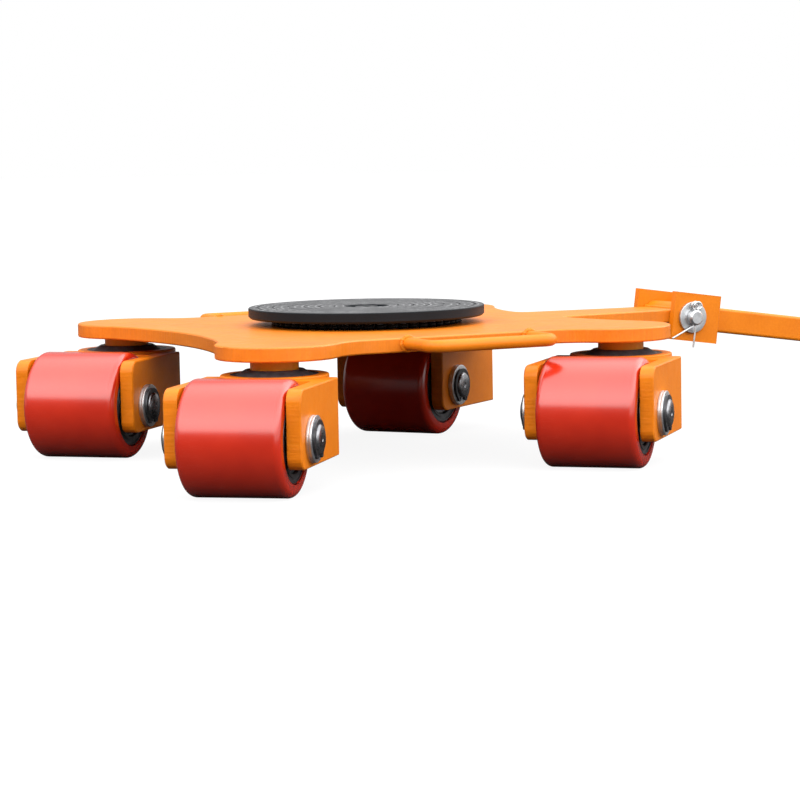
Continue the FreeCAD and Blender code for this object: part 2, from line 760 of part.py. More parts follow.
def at_caster(shape, caster):
    """Turn a fork's piece to its heading and set it under its lobe."""
    x_sign, y_sign, heading = CASTERS[caster]
    shape = shape.rotated(Vector(0, 0, 0), Vector(0, 0, 1), heading)
    return shape.translated(Vector(x_sign * PIVOT_X, y_sign * PIVOT_Y, 0))


# Tow eye and drawbar, with the tow pin on the Y axis and the bar along +X

def at_tow_pin(shape):
    return shape.translated(Vector(TOW_PIN_X, 0, tow_height))


def lowered(shape):
    """Tip a drawbar piece about the tow pin until its grip lies on the floor."""
    return at_tow_pin(shape.rotated(Vector(0, 0, 0), Vector(0, 1, 0), droop))


def tow_tube():
    half = TONGUE_END_WIDTH / 2
    return cross_ring(TOW_TUBE_DIAMETER / 2, TOW_PIN_DIAMETER / 2 + RUNNING_FIT, -half, half)


def clevis():
    """A flat bar bent into a U over the tow tube."""
    half_height = CLEVIS_HEIGHT / 2
    shell = block(
        (-CLEVIS_AHEAD_OF_PIN, CLEVIS_BEHIND_PIN),
        (-clevis_width / 2, clevis_width / 2),
        (-half_height, half_height),
    )
    bend_edges = []
    for edge in shell.Edges:
        if edge.CenterOfMass.x > CLEVIS_BEHIND_PIN - 1e-6 and edge.BoundBox.ZLength > half_height:
            bend_edges.append(edge)
    shell = shell.makeFillet(CLEVIS_WALL / 2, bend_edges)
    opening = block(
        (-CLEVIS_AHEAD_OF_PIN, CLEVIS_BEHIND_PIN - CLEVIS_WEB),
        (-clevis_gap / 2, clevis_gap / 2),
        (-half_height, half_height),
    )
    shell = shell.cut(opening)
    return shell.cut(cross_cylinder(TOW_PIN_DIAMETER / 2, -clevis_width / 2, clevis_width / 2))


def tow_pin():
    """A headed pin, cross-drilled beside its washer for the split pin."""
    radius = TOW_PIN_DIAMETER / 2
    end = -tow_washer_outside - TOW_PIN_PAST_WASHER
    head_start = tow_washer_outside
    head_end = head_start + TOW_PIN_HEAD_HEIGHT
    head_radius = TOW_PIN_HEAD_DIAMETER / 2
    pin = cross_turned([
        (0, end),
        (radius - TOW_PIN_CHAMFER, end),
        (radius, end + TOW_PIN_CHAMFER),
        (radius, head_start),
        (head_radius, head_start),
        (head_radius, head_end - TOW_PIN_CHAMFER),
        (head_radius - TOW_PIN_CHAMFER, head_end),
        (0, head_end),
    ])
    hole = cylinder(SPLIT_PIN_HOLE / 2, -radius, radius)
    return pin.cut(hole.translated(Vector(0, split_pin_y(), 0)))


def tow_washers():
    washer = cross_ring(TOW_WASHER_DIAMETER / 2, TOW_PIN_DIAMETER / 2, clevis_width / 2, tow_washer_outside)
    return group(mirrored_pair(washer))


def split_pin_y():
    """The split pin's place along the tow pin, midway between the washer and the pin's end."""
    return -tow_washer_outside - TOW_PIN_PAST_WASHER / 2


def rod(start, end, radius):
    """A straight round wire from one point to another."""
    run = end - start
    return Part.makeCylinder(radius, run.Length, start, run)


def split_pin():
    """An eye on top of the tow pin and two legs below it, one straight and one bent back."""
    radius = SPLIT_PIN_WIRE / 2
    pin_radius = TOW_PIN_DIAMETER / 2
    eye_ring = SPLIT_PIN_EYE_DIAMETER / 2 - radius
    eye_height = pin_radius + SPLIT_PIN_EYE_DIAMETER / 2
    eye = Part.makeTorus(eye_ring, radius, Vector(0, 0, eye_height), Vector(0, 1, 0))
    stem = rod(Vector(0, 0, eye_height - eye_ring), Vector(0, 0, -pin_radius - radius), SPLIT_PIN_STEM / 2)
    knee = Vector(0, 0, -pin_radius - radius)
    straight = rod(knee, knee - Vector(0, 0, SPLIT_PIN_STRAIGHT_LEG - pin_radius), SPLIT_PIN_LEG / 2)
    bend = math.radians(SPLIT_PIN_BEND)
    bent_run = Vector(-math.sin(bend), 0, -math.cos(bend)) * SPLIT_PIN_BENT_LEG
    bent = rod(knee, knee + bent_run, SPLIT_PIN_LEG / 2)
    knuckle = Part.makeSphere(radius, knee)
    return eye.fuse([stem, straight, bent, knuckle]).translated(Vector(0, split_pin_y(), 0))


def drawbar():
    """A square bar from the clevis to the grip, hollowed at its end to fit round the grip."""
    half = DRAWBAR_WIDTH / 2
    bar = block((CLEVIS_BEHIND_PIN, DRAWBAR_LENGTH), (-half, half), (-half, half))
    long_edges = [edge for edge in bar.Edges if edge.BoundBox.XLength > DRAWBAR_WIDTH]
    bar = bar.makeFillet(DRAWBAR_EDGE_RADIUS, long_edges)
    return bar.cut(at_grip(cross_cylinder(GRIP_DIAMETER / 2, -half, half)))


def at_grip(shape):
    return shape.translated(Vector(DRAWBAR_LENGTH, 0, 0))


def grip():
    """The cross tube that is held when pulling."""
    half = GRIP_LENGTH / 2
    return at_grip(cross_ring(GRIP_DIAMETER / 2, GRIP_DIAMETER / 2 - GRIP_WALL, -half, half))


def grip_caps():
    """A plug with a low crown in each end of the grip."""
    half = GRIP_LENGTH / 2
    radius = GRIP_DIAMETER / 2
    cap = cross_turned([
        (0, half - GRIP_CAP_DEPTH),
        (radius - GRIP_WALL, half - GRIP_CAP_DEPTH),
        (radius - GRIP_WALL, half),
        (radius, half),
        (radius, half + GRIP_CAP_EDGE),
        (GRIP_CAP_CROWN_DIAMETER / 2, half + GRIP_CAP_CROWN),
        (0, half + GRIP_CAP_CROWN),
    ])
    return at_grip(group(mirrored_pair(cap)))


# Write every node

def main():
    os.makedirs("parts", exist_ok=True)

    save("deck_plate", deck_plate())
    handle = carry_handle()
    save("carry_handle_left", handle)
    save("carry_handle_right", handle.rotated(Vector(0, 0, 0), Vector(0, 0, 1), 180))
    save("tow_tube", at_tow_pin(tow_tube()))
    save("king_pins", at_every_pivot(king_pin()))
    save("swivel_inner_races", at_every_pivot(swivel_inner_race()))
    save("king_washers", at_every_pivot(king_washer()))
    save("king_nuts", at_every_pivot(king_nut()))

    save("turntable_disc", turntable_disc())
    save("ball_cage", ball_cage())
    save("pivot_pin", pivot_pin())
    save("keeper_washer", keeper())
    save("keeper_screw", keeper_screw())

    roller_pieces = {
        "tyre": roller_tyre(),
        "core": roller_core(),
        "wheel_bearings": wheel_bearings(),
        "axle": axle(),
        "axle_spacers": axle_spacers(),
        "axle_washers": axle_washers(),
        "axle_circlips": axle_circlips(),
    }
    fork_pieces = {
        "fork": fork(),
        "swivel_outer_race": swivel_outer_race(),
        "swivel_seal": swivel_seal(),
    }
    for piece, shape in roller_pieces.items():
        fork_pieces[piece] = shape.translated(axle_place())
    for caster in CASTERS:
        for piece, shape in fork_pieces.items():
            save(f"{caster}_{piece}", at_caster(shape, caster))

    save("clevis", lowered(clevis()))
    save("tow_pin", lowered(tow_pin()))
    save("tow_washers", lowered(tow_washers()))
    save("split_pin", lowered(split_pin()))
    save("drawbar", lowered(drawbar()))
    save("grip", lowered(grip()))
    save("grip_caps", lowered(grip_caps()))


main()
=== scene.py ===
import json
import math

import bmesh
import bpy
import numpy as np
from mathutils import Matrix, Vector


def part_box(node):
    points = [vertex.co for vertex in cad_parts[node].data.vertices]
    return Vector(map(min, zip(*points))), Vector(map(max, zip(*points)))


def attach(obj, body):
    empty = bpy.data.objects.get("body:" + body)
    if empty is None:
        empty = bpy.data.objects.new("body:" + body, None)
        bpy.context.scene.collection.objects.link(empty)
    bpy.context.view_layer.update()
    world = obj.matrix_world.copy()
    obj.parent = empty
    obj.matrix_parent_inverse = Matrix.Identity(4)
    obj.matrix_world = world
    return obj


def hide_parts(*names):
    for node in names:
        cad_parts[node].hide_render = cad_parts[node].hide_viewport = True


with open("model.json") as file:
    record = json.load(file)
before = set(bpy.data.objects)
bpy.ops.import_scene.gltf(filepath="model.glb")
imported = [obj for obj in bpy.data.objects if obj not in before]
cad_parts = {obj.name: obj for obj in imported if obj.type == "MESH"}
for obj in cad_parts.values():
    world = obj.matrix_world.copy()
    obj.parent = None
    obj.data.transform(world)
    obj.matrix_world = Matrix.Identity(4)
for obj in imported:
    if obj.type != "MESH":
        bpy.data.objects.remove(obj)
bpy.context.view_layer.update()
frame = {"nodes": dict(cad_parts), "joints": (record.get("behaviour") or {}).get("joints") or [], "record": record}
record = frame["record"]
slot_of = {part["node"]: part["material_slot"] for part in record["subparts"]}
body_of = {node: body for body, nodes in record["behaviour"]["bodies"].items() for node in nodes}
joint_of = {joint["name"]: joint for joint in frame["joints"]}

# Places and sizes, in metres, that the pieces made here take from the skate
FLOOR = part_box("rear_right_tyre")[0].z
PIVOT = 0.141
DECK_TOP = -0.0135
DECK_BOTTOM = -0.024
RACE_RADIUS = 0.0685
RACE_HEIGHT = -0.01075
BALL_RADIUS = 0.00375
BALL_COUNT = 50
CASTERS = ("rear_right", "rear_left", "front_left", "front_right")

# Camera, at the photograph's view
CAMERA_PLACE = (-0.9217, -1.8848, 0.1318)
CAMERA_YAW = -28.65
CAMERA_PITCH = 5.74
CAMERA_ROLL = -0.87
CAMERA_LENS = 123.61
CAMERA_SHIFT = (-0.1151, 0.0079)

# Studio: the way to its front and to its dark side, then radiances
STUDIO_FRONT = (0.05, -1.0, 0.0)
STUDIO_DARK = (-0.87, -0.5, 0.0)
STUDIO_HIGH = (3.5, 4.3)
STUDIO_TOP = 2.6
STUDIO_BACK = 0.5
STUDIO_LOW = 0.2
STUDIO_SIDE = 1.5
FLOOR_BOUNCE = 0.05
FLOOR_RADIUS = 14.0

# Making of meshes
WELD_DISTANCE = 2e-6
CREASE_ANGLE = math.radians(32)
BEVEL_ANGLE = math.radians(40)
TINY = 1e-7


# Frames that spin with a piece

def own_frame(node, places):
    """Each point in the piece's own frame, with the axis it was turned about as Z."""
    for caster in CASTERS:
        roll = joint_of[caster + "_roll"]
        if body_of[node] == "roller_" + caster or node.startswith((caster + "_axle", caster + "_fork")):
            return turned_to(places, roll["pos_m"], roll["axis"])
        if body_of[node] == "caster_" + caster:
            return turned_to(places, joint_of[caster + "_swivel"]["pos_m"], (0, 0, 1))
    if node in ("king_pins", "swivel_inner_races", "king_washers", "king_nuts"):
        shifted = places.copy()
        shifted[:, :2] -= np.sign(places[:, :2]) * PIVOT
        return shifted
    if body_of[node] == "towbar" or node == "tow_tube":
        lift = joint_of["towbar_lift"]
        place = lift["pos_m"]
        if node.startswith("grip"):
            low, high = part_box("grip")
            place = (low + high) / 2
        return turned_to(places, place, lift["axis"])
    return places


def turned_to(places, centre, axis):
    """Points seen from a frame at centre whose Z runs along axis."""
    z = np.array(axis, float)
    side = np.array((0.0, 0.0, 1.0)) if abs(z[2]) < 0.5 else np.array((1.0, 0.0, 0.0))
    x = np.cross(side, z)
    x /= np.linalg.norm(x)
    y = np.cross(z, x)
    return (places - np.array(centre, float)) @ np.stack((x, y, z), axis=1)


def write_own_frame(mesh, node):
    """Keeps each point's place in the piece's own frame, for turned marks and brushed grain."""
    places = np.empty(len(mesh.vertices) * 3)
    mesh.vertices.foreach_get("co", places)
    own = own_frame(node, places.reshape(-1, 3))
    attribute = mesh.attributes.get("own") or mesh.attributes.new("own", "FLOAT_VECTOR", "POINT")
    attribute.data.foreach_set("vector", own.astype(np.float32).ravel())


# Making pieces

def shaded(mesh):
    """Smooth faces, with edges sharper than the crease angle kept sharp."""
    b = bmesh.new()
    b.from_mesh(mesh)
    bmesh.ops.remove_doubles(b, verts=b.verts, dist=WELD_DISTANCE)
    for face in b.faces:
        face.smooth = True
    for edge in b.edges:
        edge.smooth = len(edge.link_faces) == 2 and edge.calc_face_angle(0.0) < CREASE_ANGLE
    b.to_mesh(mesh)
    b.free()


def finished(piece):
    """The piece with its modifiers baked into a plain mesh."""
    bpy.context.view_layer.update()
    evaluated = piece.evaluated_get(bpy.context.evaluated_depsgraph_get())
    mesh = bpy.data.meshes.new_from_object(evaluated)
    piece.modifiers.clear()
    piece.data = mesh
    mesh.name = piece.name
    return piece


def placed(name, mesh, slot, body, nodes=(), like=None):
    """Puts a mesh in the scene as a piece with its finish, body and the nodes it stands for."""
    piece = bpy.data.objects.new(name, mesh)
    bpy.context.scene.collection.objects.link(piece)
    if like:
        write_own_frame(mesh, like)
    mesh.materials.clear()
    mesh.materials.append(finish_of(like, slot))
    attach(piece, body)
    if nodes:
        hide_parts(*nodes)
    return piece


def dressed(node, edge=0.0):
    """A CAD node's own shape, welded and smooth shaded, with its sharp edges eased."""
    mesh = frame["nodes"][node].data.copy()
    shaded(mesh)
    holder = bpy.data.objects.new(node + "_piece", mesh)
    bpy.context.scene.collection.objects.link(holder)
    if edge:
        bevel = holder.modifiers.new("eased edges", "BEVEL")
        bevel.width = edge
        bevel.segments = 2
        bevel.limit_method = "ANGLE"
        bevel.angle_limit = BEVEL_ANGLE
        bevel.harden_normals = False
    normals = holder.modifiers.new("flat faces stay flat", "WEIGHTED_NORMAL")
    normals.keep_sharp = True
    normals.weight = 60
    finished(holder)
    mesh = holder.data
    bpy.data.objects.remove(holder)
    return placed(node + "_piece", mesh, slot_of[node], body_of[node], [node], like=node)


def lathed(profile, centre, axis, steps=96):
    """A mesh turned about an axis from a closed outline of (radius, place along the axis) points."""
    z = Vector(axis).normalized()
    x = z.orthogonal().normalized()
    y = z.cross(x)
    b = bmesh.new()
    rings = []
    for radius, along in profile:
        ring = []
        if radius < TINY:
            ring = [b.verts.new(Vector(centre) + z * along)] * steps
        else:
            for step in range(steps):
                angle = 2 * math.pi * step / steps
                ring.append(b.verts.new(
                    Vector(centre) + z * along + (x * math.cos(angle) + y * math.sin(angle)) * radius
                ))
        rings.append(ring)
    for index, ring in enumerate(rings):
        following = rings[(index + 1) % len(rings)]
        for step in range(steps):
            after = (step + 1) % steps
            corners = []
            for corner in (ring[step], following[step], following[after], ring[after]):
                if corner not in corners:
                    corners.append(corner)
            if len(corners) > 2:
                b.faces.new(corners)
    bmesh.ops.recalc_face_normals(b, faces=b.faces)
    mesh = bpy.data.meshes.new("turned")
    b.to_mesh(mesh)
    b.free()
    return mesh


def eased(profile, radius, arcs=3):
    """The same closed outline with every corner rounded off."""
    points = [Vector(point) for point in profile]
    rounded = []
    for index, corner in enumerate(points):
        if corner.x < TINY:
            rounded.append(tuple(corner))
            continue
        before = points[index - 1] - corner
        after = points[(index + 1) % len(points)] - corner
        cut = min(radius, before.length * 0.45, after.length * 0.45)
        start = corner + before.normalized() * cut
        end = corner + after.normalized() * cut
        for step in range(arcs + 1):
            t = step / arcs
            rounded.append(tuple(start * (1 - t) ** 2 + corner * 2 * t * (1 - t) + end * t ** 2))
    return rounded


def joined(meshes):
    """Several meshes as one."""
    b = bmesh.new()
    for mesh in meshes:
        b.from_mesh(mesh)
    whole = bpy.data.meshes.new("joined")
    b.to_mesh(whole)
    b.free()
    return whole


# Shader graphs

class Graph:
    """Puts nodes into a node tree. An input takes a number, a colour or another node's output."""

    def __init__(self, tree):
        self.tree = tree
        tree.nodes.clear()

    def add(self, kind, inputs=None, **settings):
        node = self.tree.nodes.new(kind)
        for name, value in settings.items():
            setattr(node, name, value)
        for name, value in (inputs or {}).items():
            socket = node.inputs[name]
            if isinstance(value, bpy.types.NodeSocket):
                self.tree.links.new(value, socket)
            else:
                socket.default_value = value
        return node

    def math(self, operation, first, second=0.0):
        return self.add("ShaderNodeMath", {0: first, 1: second}, operation=operation).outputs[0]

    def vector(self, operation, first, second=(0.0, 0.0, 0.0)):
        return self.add("ShaderNodeVectorMath", {0: first, 1: second}, operation=operation)

    def noise(self, vector, scale, detail=3.0, roughness=0.5, distortion=0.0):
        inputs = {
            "Vector": vector, "Scale": scale, "Detail": detail, "Roughness": roughness, "Distortion": distortion,
        }
        return self.add("ShaderNodeTexNoise", inputs).outputs["Fac"]

    def ramp(self, value, low, high, start=0.0, end=1.0):
        inputs = {"Value": value, "From Min": low, "From Max": high, "To Min": start, "To Max": end}
        return self.add("ShaderNodeMapRange", inputs).outputs["Result"]

    def mixed(self, fac, first, second):
        return self.add("ShaderNodeMix", {0: fac, 2: first, 3: second}).outputs[0]

    def tint(self, fac, first, second):
        return self.add("ShaderNodeMix", {0: fac, 6: first, 7: second}, data_type="RGBA").outputs[2]


def effect(name, inputs, outputs, build):
    """A shader group with named inputs and outputs."""
    tree = bpy.data.node_groups.new(name, "ShaderNodeTree")
    for title, kind, value in inputs:
        socket = tree.interface.new_socket(title, in_out="INPUT", socket_type="NodeSocket" + kind)
        if value is not None:
            socket.default_value = value
    for title in outputs:
        tree.interface.new_socket(title, in_out="OUTPUT", socket_type="NodeSocketFloat")
    graph = Graph(tree)
    given = graph.add("NodeGroupInput").outputs
    made = build(graph, given)
    result = graph.add("NodeGroupOutput")
    for title, socket in made.items():
        tree.links.new(socket, result.inputs[title])
    return tree


def build_grain(graph, given):
    fine = graph.noise(given["Vector"], given["Scale"], 2.0)
    coarse = graph.noise(given["Vector"], graph.math("MULTIPLY", given["Scale"], 0.17), 2.0)
    height = graph.math("ADD", graph.math("MULTIPLY", fine, given["Fine"]), coarse)
    return {"Height": height, "Mask": graph.ramp(coarse, 0.35, 0.65)}


def build_turning(graph, given):
    parts = graph.add("ShaderNodeSeparateXYZ", {0: given["Own Frame"]}).outputs
    across = graph.math("MULTIPLY", parts[0], parts[0])
    along = graph.math("MULTIPLY", parts[1], parts[1])
    radius = graph.math("SQRT", graph.math("ADD", across, along))
    travel = graph.math("ADD", radius, parts[2])
    stacked = graph.add("ShaderNodeCombineXYZ", {0: travel, 1: 0.0, 2: 0.0}).outputs[0]
    rings = graph.noise(stacked, graph.math("DIVIDE", 1.0, given["Pitch"]), 3.0, 0.7)
    turn = graph.math("ARCTAN2", parts[1], parts[0])
    swing = graph.math("MULTIPLY", graph.math("SINE", turn), 0.002)
    sway = graph.math("MULTIPLY", graph.math("COSINE", turn), 0.002)
    around = graph.add("ShaderNodeCombineXYZ", {0: travel, 1: swing, 2: sway}).outputs[0]
    patches = graph.noise(around, graph.math("DIVIDE", 0.35, given["Pitch"]), 2.0)
    mask = graph.math("MULTIPLY", rings, graph.ramp(patches, 0.3, 0.7, 0.6, 1.1))
    return {"Height": rings, "Mask": mask}


def build_cut_edge(graph, given):
    height = graph.math("ABSOLUTE", graph.add("ShaderNodeSeparateXYZ", {0: given["Vector"]}).outputs[2])
    above = graph.ramp(graph.math("SUBTRACT", height, given["From"]), 0.0, 0.0003)
    below = graph.ramp(graph.math("SUBTRACT", given["To"], height), 0.0, 0.0003)
    edge = graph.math("MULTIPLY", above, below)
    flattened = graph.vector("MULTIPLY", given["Vector"], (1.0, 1.0, 0.1)).outputs[0]
    drag = graph.noise(flattened, given["Scale"], 2.0, 0.45)
    mask = graph.math("MULTIPLY", graph.ramp(drag, 0.35, 0.65), edge)
    return {"Height": graph.math("MULTIPLY", drag, edge), "Mask": mask}


def build_rim_side(graph, given):
    height = graph.add("ShaderNodeSeparateXYZ", {0: given["Own Frame"]}).outputs[2]
    across = graph.vector("MULTIPLY", given["Own Frame"], (1.0, 1.0, 0.0)).outputs[0]
    radius = graph.vector("LENGTH", across).outputs["Value"]
    rim = graph.ramp(graph.math("SUBTRACT", radius, given["Rim Radius"]), -0.0001, 0.0)
    low = graph.ramp(graph.math("ADD", height, given["Rim Height"]), 0.0, -0.0002)
    return {"Mask": graph.math("MAXIMUM", rim, low)}


def build_scuffs(graph, given):
    streaks = graph.vector("MULTIPLY", given["Vector"], (1.0, 7.0, 1.0)).outputs[0]
    first = graph.noise(streaks, given["Scale"], 4.0, 0.6, 0.4)
    where = graph.noise(given["Vector"], graph.math("MULTIPLY", given["Scale"], 0.12), 2.0)
    lines = graph.ramp(graph.math("ABSOLUTE", graph.math("SUBTRACT", first, 0.5)), 0.02, 0.0)
    mask = graph.math("MULTIPLY", lines, graph.ramp(where, 0.5, 0.62))
    return {"Mask": mask}


def build_painted_ring_glints(graph, given):
    # Light lines along the turned rings of the top: painted glints, broken up in patches
    parts = graph.add("ShaderNodeSeparateXYZ", {0: given["Own Frame"]}).outputs
    across = graph.add("ShaderNodeCombineXYZ", {0: parts[0], 1: parts[1], 2: 0.0}).outputs[0]
    radius = graph.vector("LENGTH", across).outputs["Value"]
    place_in_ring = graph.math("FRACT", graph.math("DIVIDE", radius, given["Pitch"]))
    away = graph.math("ABSOLUTE", graph.math("SUBTRACT", place_in_ring, 0.5))
    line = graph.ramp(away, given["Width"], graph.math("MULTIPLY", given["Width"], 0.4))
    broken = graph.ramp(graph.noise(across, 210.0, 2.0), 0.44, 0.54)
    glint_patches = graph.ramp(graph.noise(across, 30.0, 2.0), 0.35, 0.6)
    return {"Mask": graph.math("MULTIPLY", graph.math("MULTIPLY", line, broken), glint_patches)}


VECTOR_IN = ("Vector", "Vector", None)
OWN_FRAME_IN = ("Own Frame", "Vector", None)
grain = effect("fine grain", [
    VECTOR_IN, ("Scale", "Float", 900.0), ("Fine", "Float", 0.5),
], ["Height", "Mask"], build_grain)
turning = effect("turning marks", [
    OWN_FRAME_IN, ("Pitch", "Float", 0.0005),
], ["Height", "Mask"], build_turning)
cut_edge = effect("flame cut edge", [
    VECTOR_IN, ("Scale", "Float", 260.0), ("From", "Float", 0.0), ("To", "Float", 0.001),
], ["Height", "Mask"], build_cut_edge)
rim_side = effect("rim side", [
    OWN_FRAME_IN, ("Rim Radius", "Float", 0.0894), ("Rim Height", "Float", 0.0006),
], ["Mask"], build_rim_side)
painted_ring_glints = effect("painted ring glints", [
    OWN_FRAME_IN, ("Pitch", "Float", 0.005), ("Width", "Float", 0.1),
], ["Mask"], build_painted_ring_glints)
scuffs = effect("light scuffs", [VECTOR_IN, ("Scale", "Float", 60.0)], ["Mask"], build_scuffs)


def use(graph, group, inputs):
    """A shader group's outputs, with its inputs set or linked."""
    node = graph.add("ShaderNodeGroup", node_tree=group)
    for name, value in inputs.items():
        if isinstance(value, bpy.types.NodeSocket):
            graph.tree.links.new(value, node.inputs[name])
        else:
            node.inputs[name].default_value = value
    return node.outputs


def material(name, build, **constants):
    """A material whose Principled BSDF takes constants on its own sockets and the rest from build."""
    made = bpy.data.materials.new(name)
    made.use_nodes = True
    graph = Graph(made.node_tree)
    settings = {title.replace("_", " "): value for title, value in constants.items()}
    shader = graph.add("ShaderNodeBsdfPrincipled", settings)
    place = graph.add("ShaderNodeTexCoord").outputs["Object"]
    own = graph.add("ShaderNodeAttribute", attribute_name="own").outputs["Vector"]
    for title, socket in build(graph, place, own).items():
        graph.tree.links.new(socket, shader.inputs[title])
    graph.tree.links.new(shader.outputs[0], graph.add("ShaderNodeOutputMaterial").inputs[0])
    return made


def bumped(graph, height, strength, distance, below=None):
    """A bump, laid over another bump where one is given."""
    inputs = {"Height": height, "Strength": strength, "Distance": distance}
    if below is not None:
        inputs["Normal"] = below
    return graph.add("ShaderNodeBump", inputs).outputs[0]


def enamel(deep, light, cut_from=0.0, cut_to=0.0):
    """Sprayed enamel; between cut_from and cut_to of the own frame's height lies a flame-cut edge."""
    def build(graph, place, own):
        peel = use(graph, grain, {"Vector": place, "Scale": 700.0, "Fine": 0.35})
        edge = use(graph, cut_edge, {"Vector": own, "Scale": 520.0, "From": cut_from, "To": cut_to})
        speckle = graph.math("MULTIPLY", graph.noise(place, 520.0, 3.0), 0.7)
        tone = graph.math("ADD", graph.noise(place, 34.0, 3.0), speckle)
        colour = graph.tint(graph.ramp(tone, 0.62, 1.08), (*deep, 1), (*light, 1))
        cut_colour = (deep[0] * 0.8, deep[1] * 0.75, deep[2], 1)
        colour = graph.tint(graph.math("MULTIPLY", edge["Mask"], 0.25), colour, cut_colour)
        rough = graph.ramp(peel["Mask"], 0.0, 1.0, 0.38, 0.46)
        normal = bumped(graph, peel["Height"], 0.14, 0.0006)
        normal = bumped(graph, edge["Height"], 0.55, 0.0006, normal)
        return {"Base Color": colour, "Roughness": rough, "Normal": normal}
    return build


def red_urethane(graph, place, own):
    """Cast red polyurethane, a little cloudy, with light rolling marks."""
    rings = use(graph, turning, {"Own Frame": own, "Pitch": 0.004})
    marks = use(graph, scuffs, {"Vector": own, "Scale": 45.0})
    cloud = graph.noise(own, 28.0, 3.0)
    colour = graph.tint(graph.ramp(cloud, 0.35, 0.65), (0.46, 0.015, 0.002, 1), (0.53, 0.02, 0.0035, 1))
    colour = graph.tint(graph.math("MULTIPLY", marks["Mask"], 0.12), colour, (0.6, 0.08, 0.06, 1))
    rough = graph.ramp(rings["Mask"], 0.2, 0.9, 0.2, 0.3)
    normal = bumped(graph, rings["Height"], 0.05, 0.0003)
    return {"Base Color": colour, "Roughness": rough, "Normal": normal}


def steel(dark, light, pitch, rough_low, rough_high, strength):
    """Turned steel with fine marks around its own axis."""
    def build(graph, place, own):
        rings = use(graph, turning, {"Own Frame": own, "Pitch": pitch})
        spots = use(graph, grain, {"Vector": place, "Scale": 1400.0, "Fine": 0.6})
        colour = graph.tint(graph.math("MULTIPLY", rings["Mask"], spots["Mask"]), (*dark, 1), (*light, 1))
        rough = graph.ramp(rings["Mask"], 0.2, 0.8, rough_low, rough_high)
        normal = bumped(graph, rings["Height"], strength, 0.0002)
        normal = bumped(graph, spots["Height"], 0.06, 0.0002, normal)
        return {"Base Color": colour, "Roughness": rough, "Normal": normal}
    return build


def black_turntable(graph, place, own):
    """Satin black top with fine rings and broken lines of painted glint, and a rim painted darker and cooler than the
    top as painted shade.
    """
    rings = use(graph, turning, {"Own Frame": own, "Pitch": 0.0011})
    coarse = use(graph, grain, {"Vector": place, "Scale": 520.0, "Fine": 0.8})
    marks = use(graph, scuffs, {"Vector": place, "Scale": 70.0})
    colour = graph.tint(rings["Mask"], (0.03, 0.031, 0.034, 1), (0.062, 0.063, 0.068, 1))
    colour = graph.tint(graph.math("MULTIPLY", marks["Mask"], 0.35), colour, (0.16, 0.16, 0.17, 1))
    dashes = use(graph, painted_ring_glints, {"Own Frame": own, "Pitch": 0.0052, "Width": 0.17})["Mask"]
    upright = use(graph, rim_side, {"Own Frame": own})["Mask"]
    level = graph.math("SUBTRACT", 1.0, upright)
    shine = graph.math("MULTIPLY", level, 0.56)
    # Painted glints: the dashes are light lines laid on the rings of the top, not on the rim
    colour = graph.tint(graph.math("MULTIPLY", dashes, level), colour, (0.34, 0.34, 0.35, 1))
    # The rim is painted darker and cooler than the top: painted shade, which also takes out the orange light the deck
    # throws on it
    colour = graph.tint(upright, colour, (0.008, 0.011, 0.014, 1))
    rough = graph.ramp(rings["Mask"], 0.2, 0.9, 0.36, 0.52)
    normal = bumped(graph, rings["Height"], 0.3, 0.0004)
    normal = bumped(graph, coarse["Height"], 0.2, 0.0004, normal)
    return {"Base Color": colour, "Roughness": rough, "Coat Weight": shine, "Normal": normal}


def moulded(dark, light, rough_low, rough_high):
    """Moulded rubber or plastic with a fine skin."""
    def build(graph, place, own):
        skin = use(graph, grain, {"Vector": place, "Scale": 1100.0, "Fine": 0.7})
        rings = use(graph, turning, {"Own Frame": own, "Pitch": 0.0016})
        colour = graph.tint(skin["Mask"], (*dark, 1), (*light, 1))
        rough = graph.ramp(rings["Mask"], 0.2, 0.9, rough_low, rough_high)
        normal = bumped(graph, skin["Height"], 0.15, 0.0003)
        return {"Base Color": colour, "Roughness": rough, "Normal": normal}
    return build


ORANGE_DEEP = (0.64, 0.158, 0.002)
ORANGE_LIGHT = (0.71, 0.192, 0.005)
ENAMEL_SHEEN = {"Specular_IOR_Level": 0.22, "Coat_Weight": 0.05, "Coat_Roughness": 0.2}
finishes = {
    "orange_paint": material("orange enamel", enamel(ORANGE_DEEP, ORANGE_LIGHT), **ENAMEL_SHEEN),
    "red_tread": material(
        "red polyurethane", red_urethane,
        Coat_Weight=1.0, Coat_Roughness=0.21, Coat_IOR=1.7, Specular_IOR_Level=0.1,
    ),
    "core_steel": material(
        "dark turned steel", steel((0.06, 0.06, 0.064), (0.16, 0.16, 0.17), 0.0006, 0.36, 0.55, 0.25), Metallic=0.85,
    ),
    "bearing_steel": material(
        "ground steel", steel((0.2, 0.2, 0.21), (0.42, 0.42, 0.44), 0.0004, 0.22, 0.4, 0.15), Metallic=1.0,
    ),
    "zinc_steel": material(
        "bright zinc", steel((0.55, 0.56, 0.57), (0.8, 0.81, 0.83), 0.0005, 0.36, 0.5, 0.12), Metallic=1.0,
    ),
    "black_steel": material(
        "oiled black steel", steel((0.05, 0.052, 0.056), (0.13, 0.132, 0.14), 0.0005, 0.32, 0.5, 0.15), Metallic=0.8,
    ),
    "black_disc": material(
        "satin black turntable", black_turntable, Specular_IOR_Level=0.12, Coat_Roughness=0.4, Coat_IOR=1.5,
    ),
    "black_cage": material(
        "black cage", moulded((0.004, 0.005, 0.006), (0.01, 0.011, 0.013), 0.4, 0.6), Specular_IOR_Level=0.15,
    ),
    "seal_rubber": material(
        "seal rubber", moulded((0.034, 0.042, 0.048), (0.06, 0.07, 0.078), 0.4, 0.55), Specular_IOR_Level=0.3,
    ),
    "black_plastic": material("black plastic", moulded((0.02, 0.02, 0.02), (0.036, 0.036, 0.037), 0.35, 0.5)),
}
